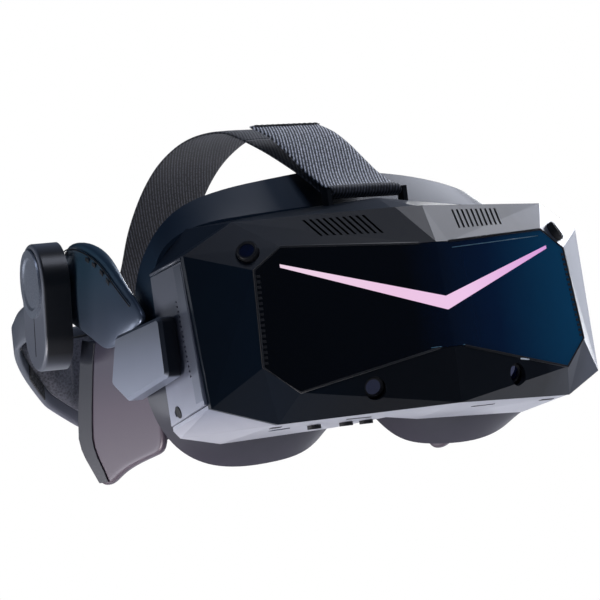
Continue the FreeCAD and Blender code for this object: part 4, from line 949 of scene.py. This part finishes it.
def lightLines():
    # a thin light guide under the window's top edge, and a short one over its lower middle
    for name, places in lightLineSettings.items():
        path = [frontPlane(x, z, 0.1) for x, z in places]
        tube(name, path, mm(0.26), looks["milkyPolycarbonateDim"], "visor", sides=6)


statusTabSettings = {"corners": [(53.5, 43.9), (61.0, 43.2), (61.0, 42.2), (53.5, 42.9)], "proud": 0.3,
                     "height": 0.4}


def statusTab():
    s = statusTabSettings
    tab = [frontPlane(x, z, s["proud"]) for x, z in s["corners"]]
    slab(tab, Vector((0, -1, 0)), mm(s["height"]), glow, "statusTab", "visor", bevel=0.2)


cameraRingSettings = {
    # place and facing of each ring on the wearer's left, mirrored to the right
    "rings": [((109.3, 29.3, 119.0), (0.62, -0.62, 0.48)), ((49.1, 9.7, 35.6), (0.25, -0.92, -0.30))],
    "radius": 5.4, "thickness": 0.35, "proud": 0.6,
}


def cameraRings():
    # a machined ring round each tracking camera
    s = cameraRingSettings
    for i, ((x, y, z), way) in enumerate(s["rings"]):
        for side, word in ((1, "Left"), (-1, "Right")):
            normal = Vector((side * way[0], way[1], way[2])).normalized()
            centre = at(side * x, y, z) + normal * mm(s["proud"])
            sideways = normal.orthogonal().normalized()
            up = normal.cross(sideways)
            path = [centre + (sideways * cos(a) + up * sin(a)) * mm(s["radius"])
                    for a in (2 * pi * k / 48 for k in range(48))]
            tube("cameraRing%s%d" % (word, i), path, mm(s["thickness"]), black, "visor",
                 loop=True)


windowSeal()
lightLines()
statusTab()
cameraRings()


sidePanelSettings = {
    # places on the outer face of the side panel, as (y, z)
    "edgeStrip": [(87.6, 114.4), (70.0, 116.9), (52.8, 119.4)], "edgeStripX": 138.9,
    "sideStrip": [(53.4, 116.2), (61.6, 115.2), (53.6, 37.4), (45.6, 38.6)], "sideStripX": 138.95,
    "mouth": (74, 34.5), "mouthX": 139.05, "mouthWidth": 2.6, "mouthLean": 1.4, "mouthTall": 3.6,
}


def sideDetails():
    # the light edge strips of each side panel, and the leaf-shaped opening in the right one
    s = sidePanelSettings
    for side, word in ((1, "Left"), (-1, "Right")):
        out = Vector((side, 0, 0))
        if side < 0:
            # the opening is drawn as a black sheet: painted shade inside the opening
            turns = [2 * pi * k / 20 for k in range(20)]
            leaf = [at(side * s["mouthX"],
                       s["mouth"][0] + s["mouthWidth"] * cos(a) + s["mouthLean"] * sin(a),
                       s["mouth"][1] + s["mouthTall"] * sin(a)) for a in turns]
            slab(leaf, out, mm(0.35), black, "microphoneMouth" + word, "visor", bevel=0.1)
        edge = [at(side * s["edgeStripX"], y, z) for y, z in s["edgeStrip"]]
        tube("edgeStrip" + word, edge, mm(0.9), looks["paleSatinPaintedLight"], "visor",
             sides=6)
        strip = [at(side * s["sideStripX"], y, z) for y, z in s["sideStrip"]]
        slab(strip, out, mm(0.35), looks["sideStripSatinPaintedLight"], "sideStrip" + word, "visor",
             bevel=0.15)


undersideMarks = {
    # corners as (x, y), dropped onto the bottom shell
    "screwCover": [(-100, 40), (-92, 41.5), (-92, 45), (-100, 43.5)],
    # the vent slots are black sheets: painted shade inside the slots; the screw covers are real black parts
    "ventSlotRight": [(-52, 34), (-36, 34), (-36, 36.5), (-52, 36.5)],
    "ventSlotLeft": [(36, 34), (52, 34), (52, 36.5), (36, 36.5)],
    "screwCoverLeft": [(92, 41.5), (100, 40), (100, 43.5), (92, 45)],
}


def undersideDetails():
    # screw covers and vent slots in the bottom shell
    shell = nodes["bottom_shell"]
    inverse = shell.matrix_world.inverted()
    for name, corners in undersideMarks.items():
        outline = []
        for x, y in corners:
            hit, place, _, _ = shell.ray_cast(inverse @ at(x, y, -20), Vector((0, 0, 1)))
            outline.append(shell.matrix_world @ place if hit else at(x, y, 19))
        slab(outline, Vector((0, 0, -1)), mm(0.3), black, name, "visor", bevel=0.15)


sideDetails()
undersideDetails()
print("trim made")


floorSettings = {"radius": 1.6, "height": -0.36, "sides": 64}  # metres


def floor():
    s = floorSettings
    data = bpy.data.meshes.new("paleFloor")
    turns = [2 * pi * k / s["sides"] for k in range(s["sides"])]
    rim = [(s["radius"] * cos(a), s["radius"] * sin(a), s["height"]) for a in turns]
    data.from_pydata(rim, [], [tuple(range(s["sides"]))])
    piece = bpy.data.objects.new("paleFloor", data)
    bpy.context.scene.collection.objects.link(piece)
    data.materials.append(looks["paleFloorPaintRolled"])


floor()
print("finished")
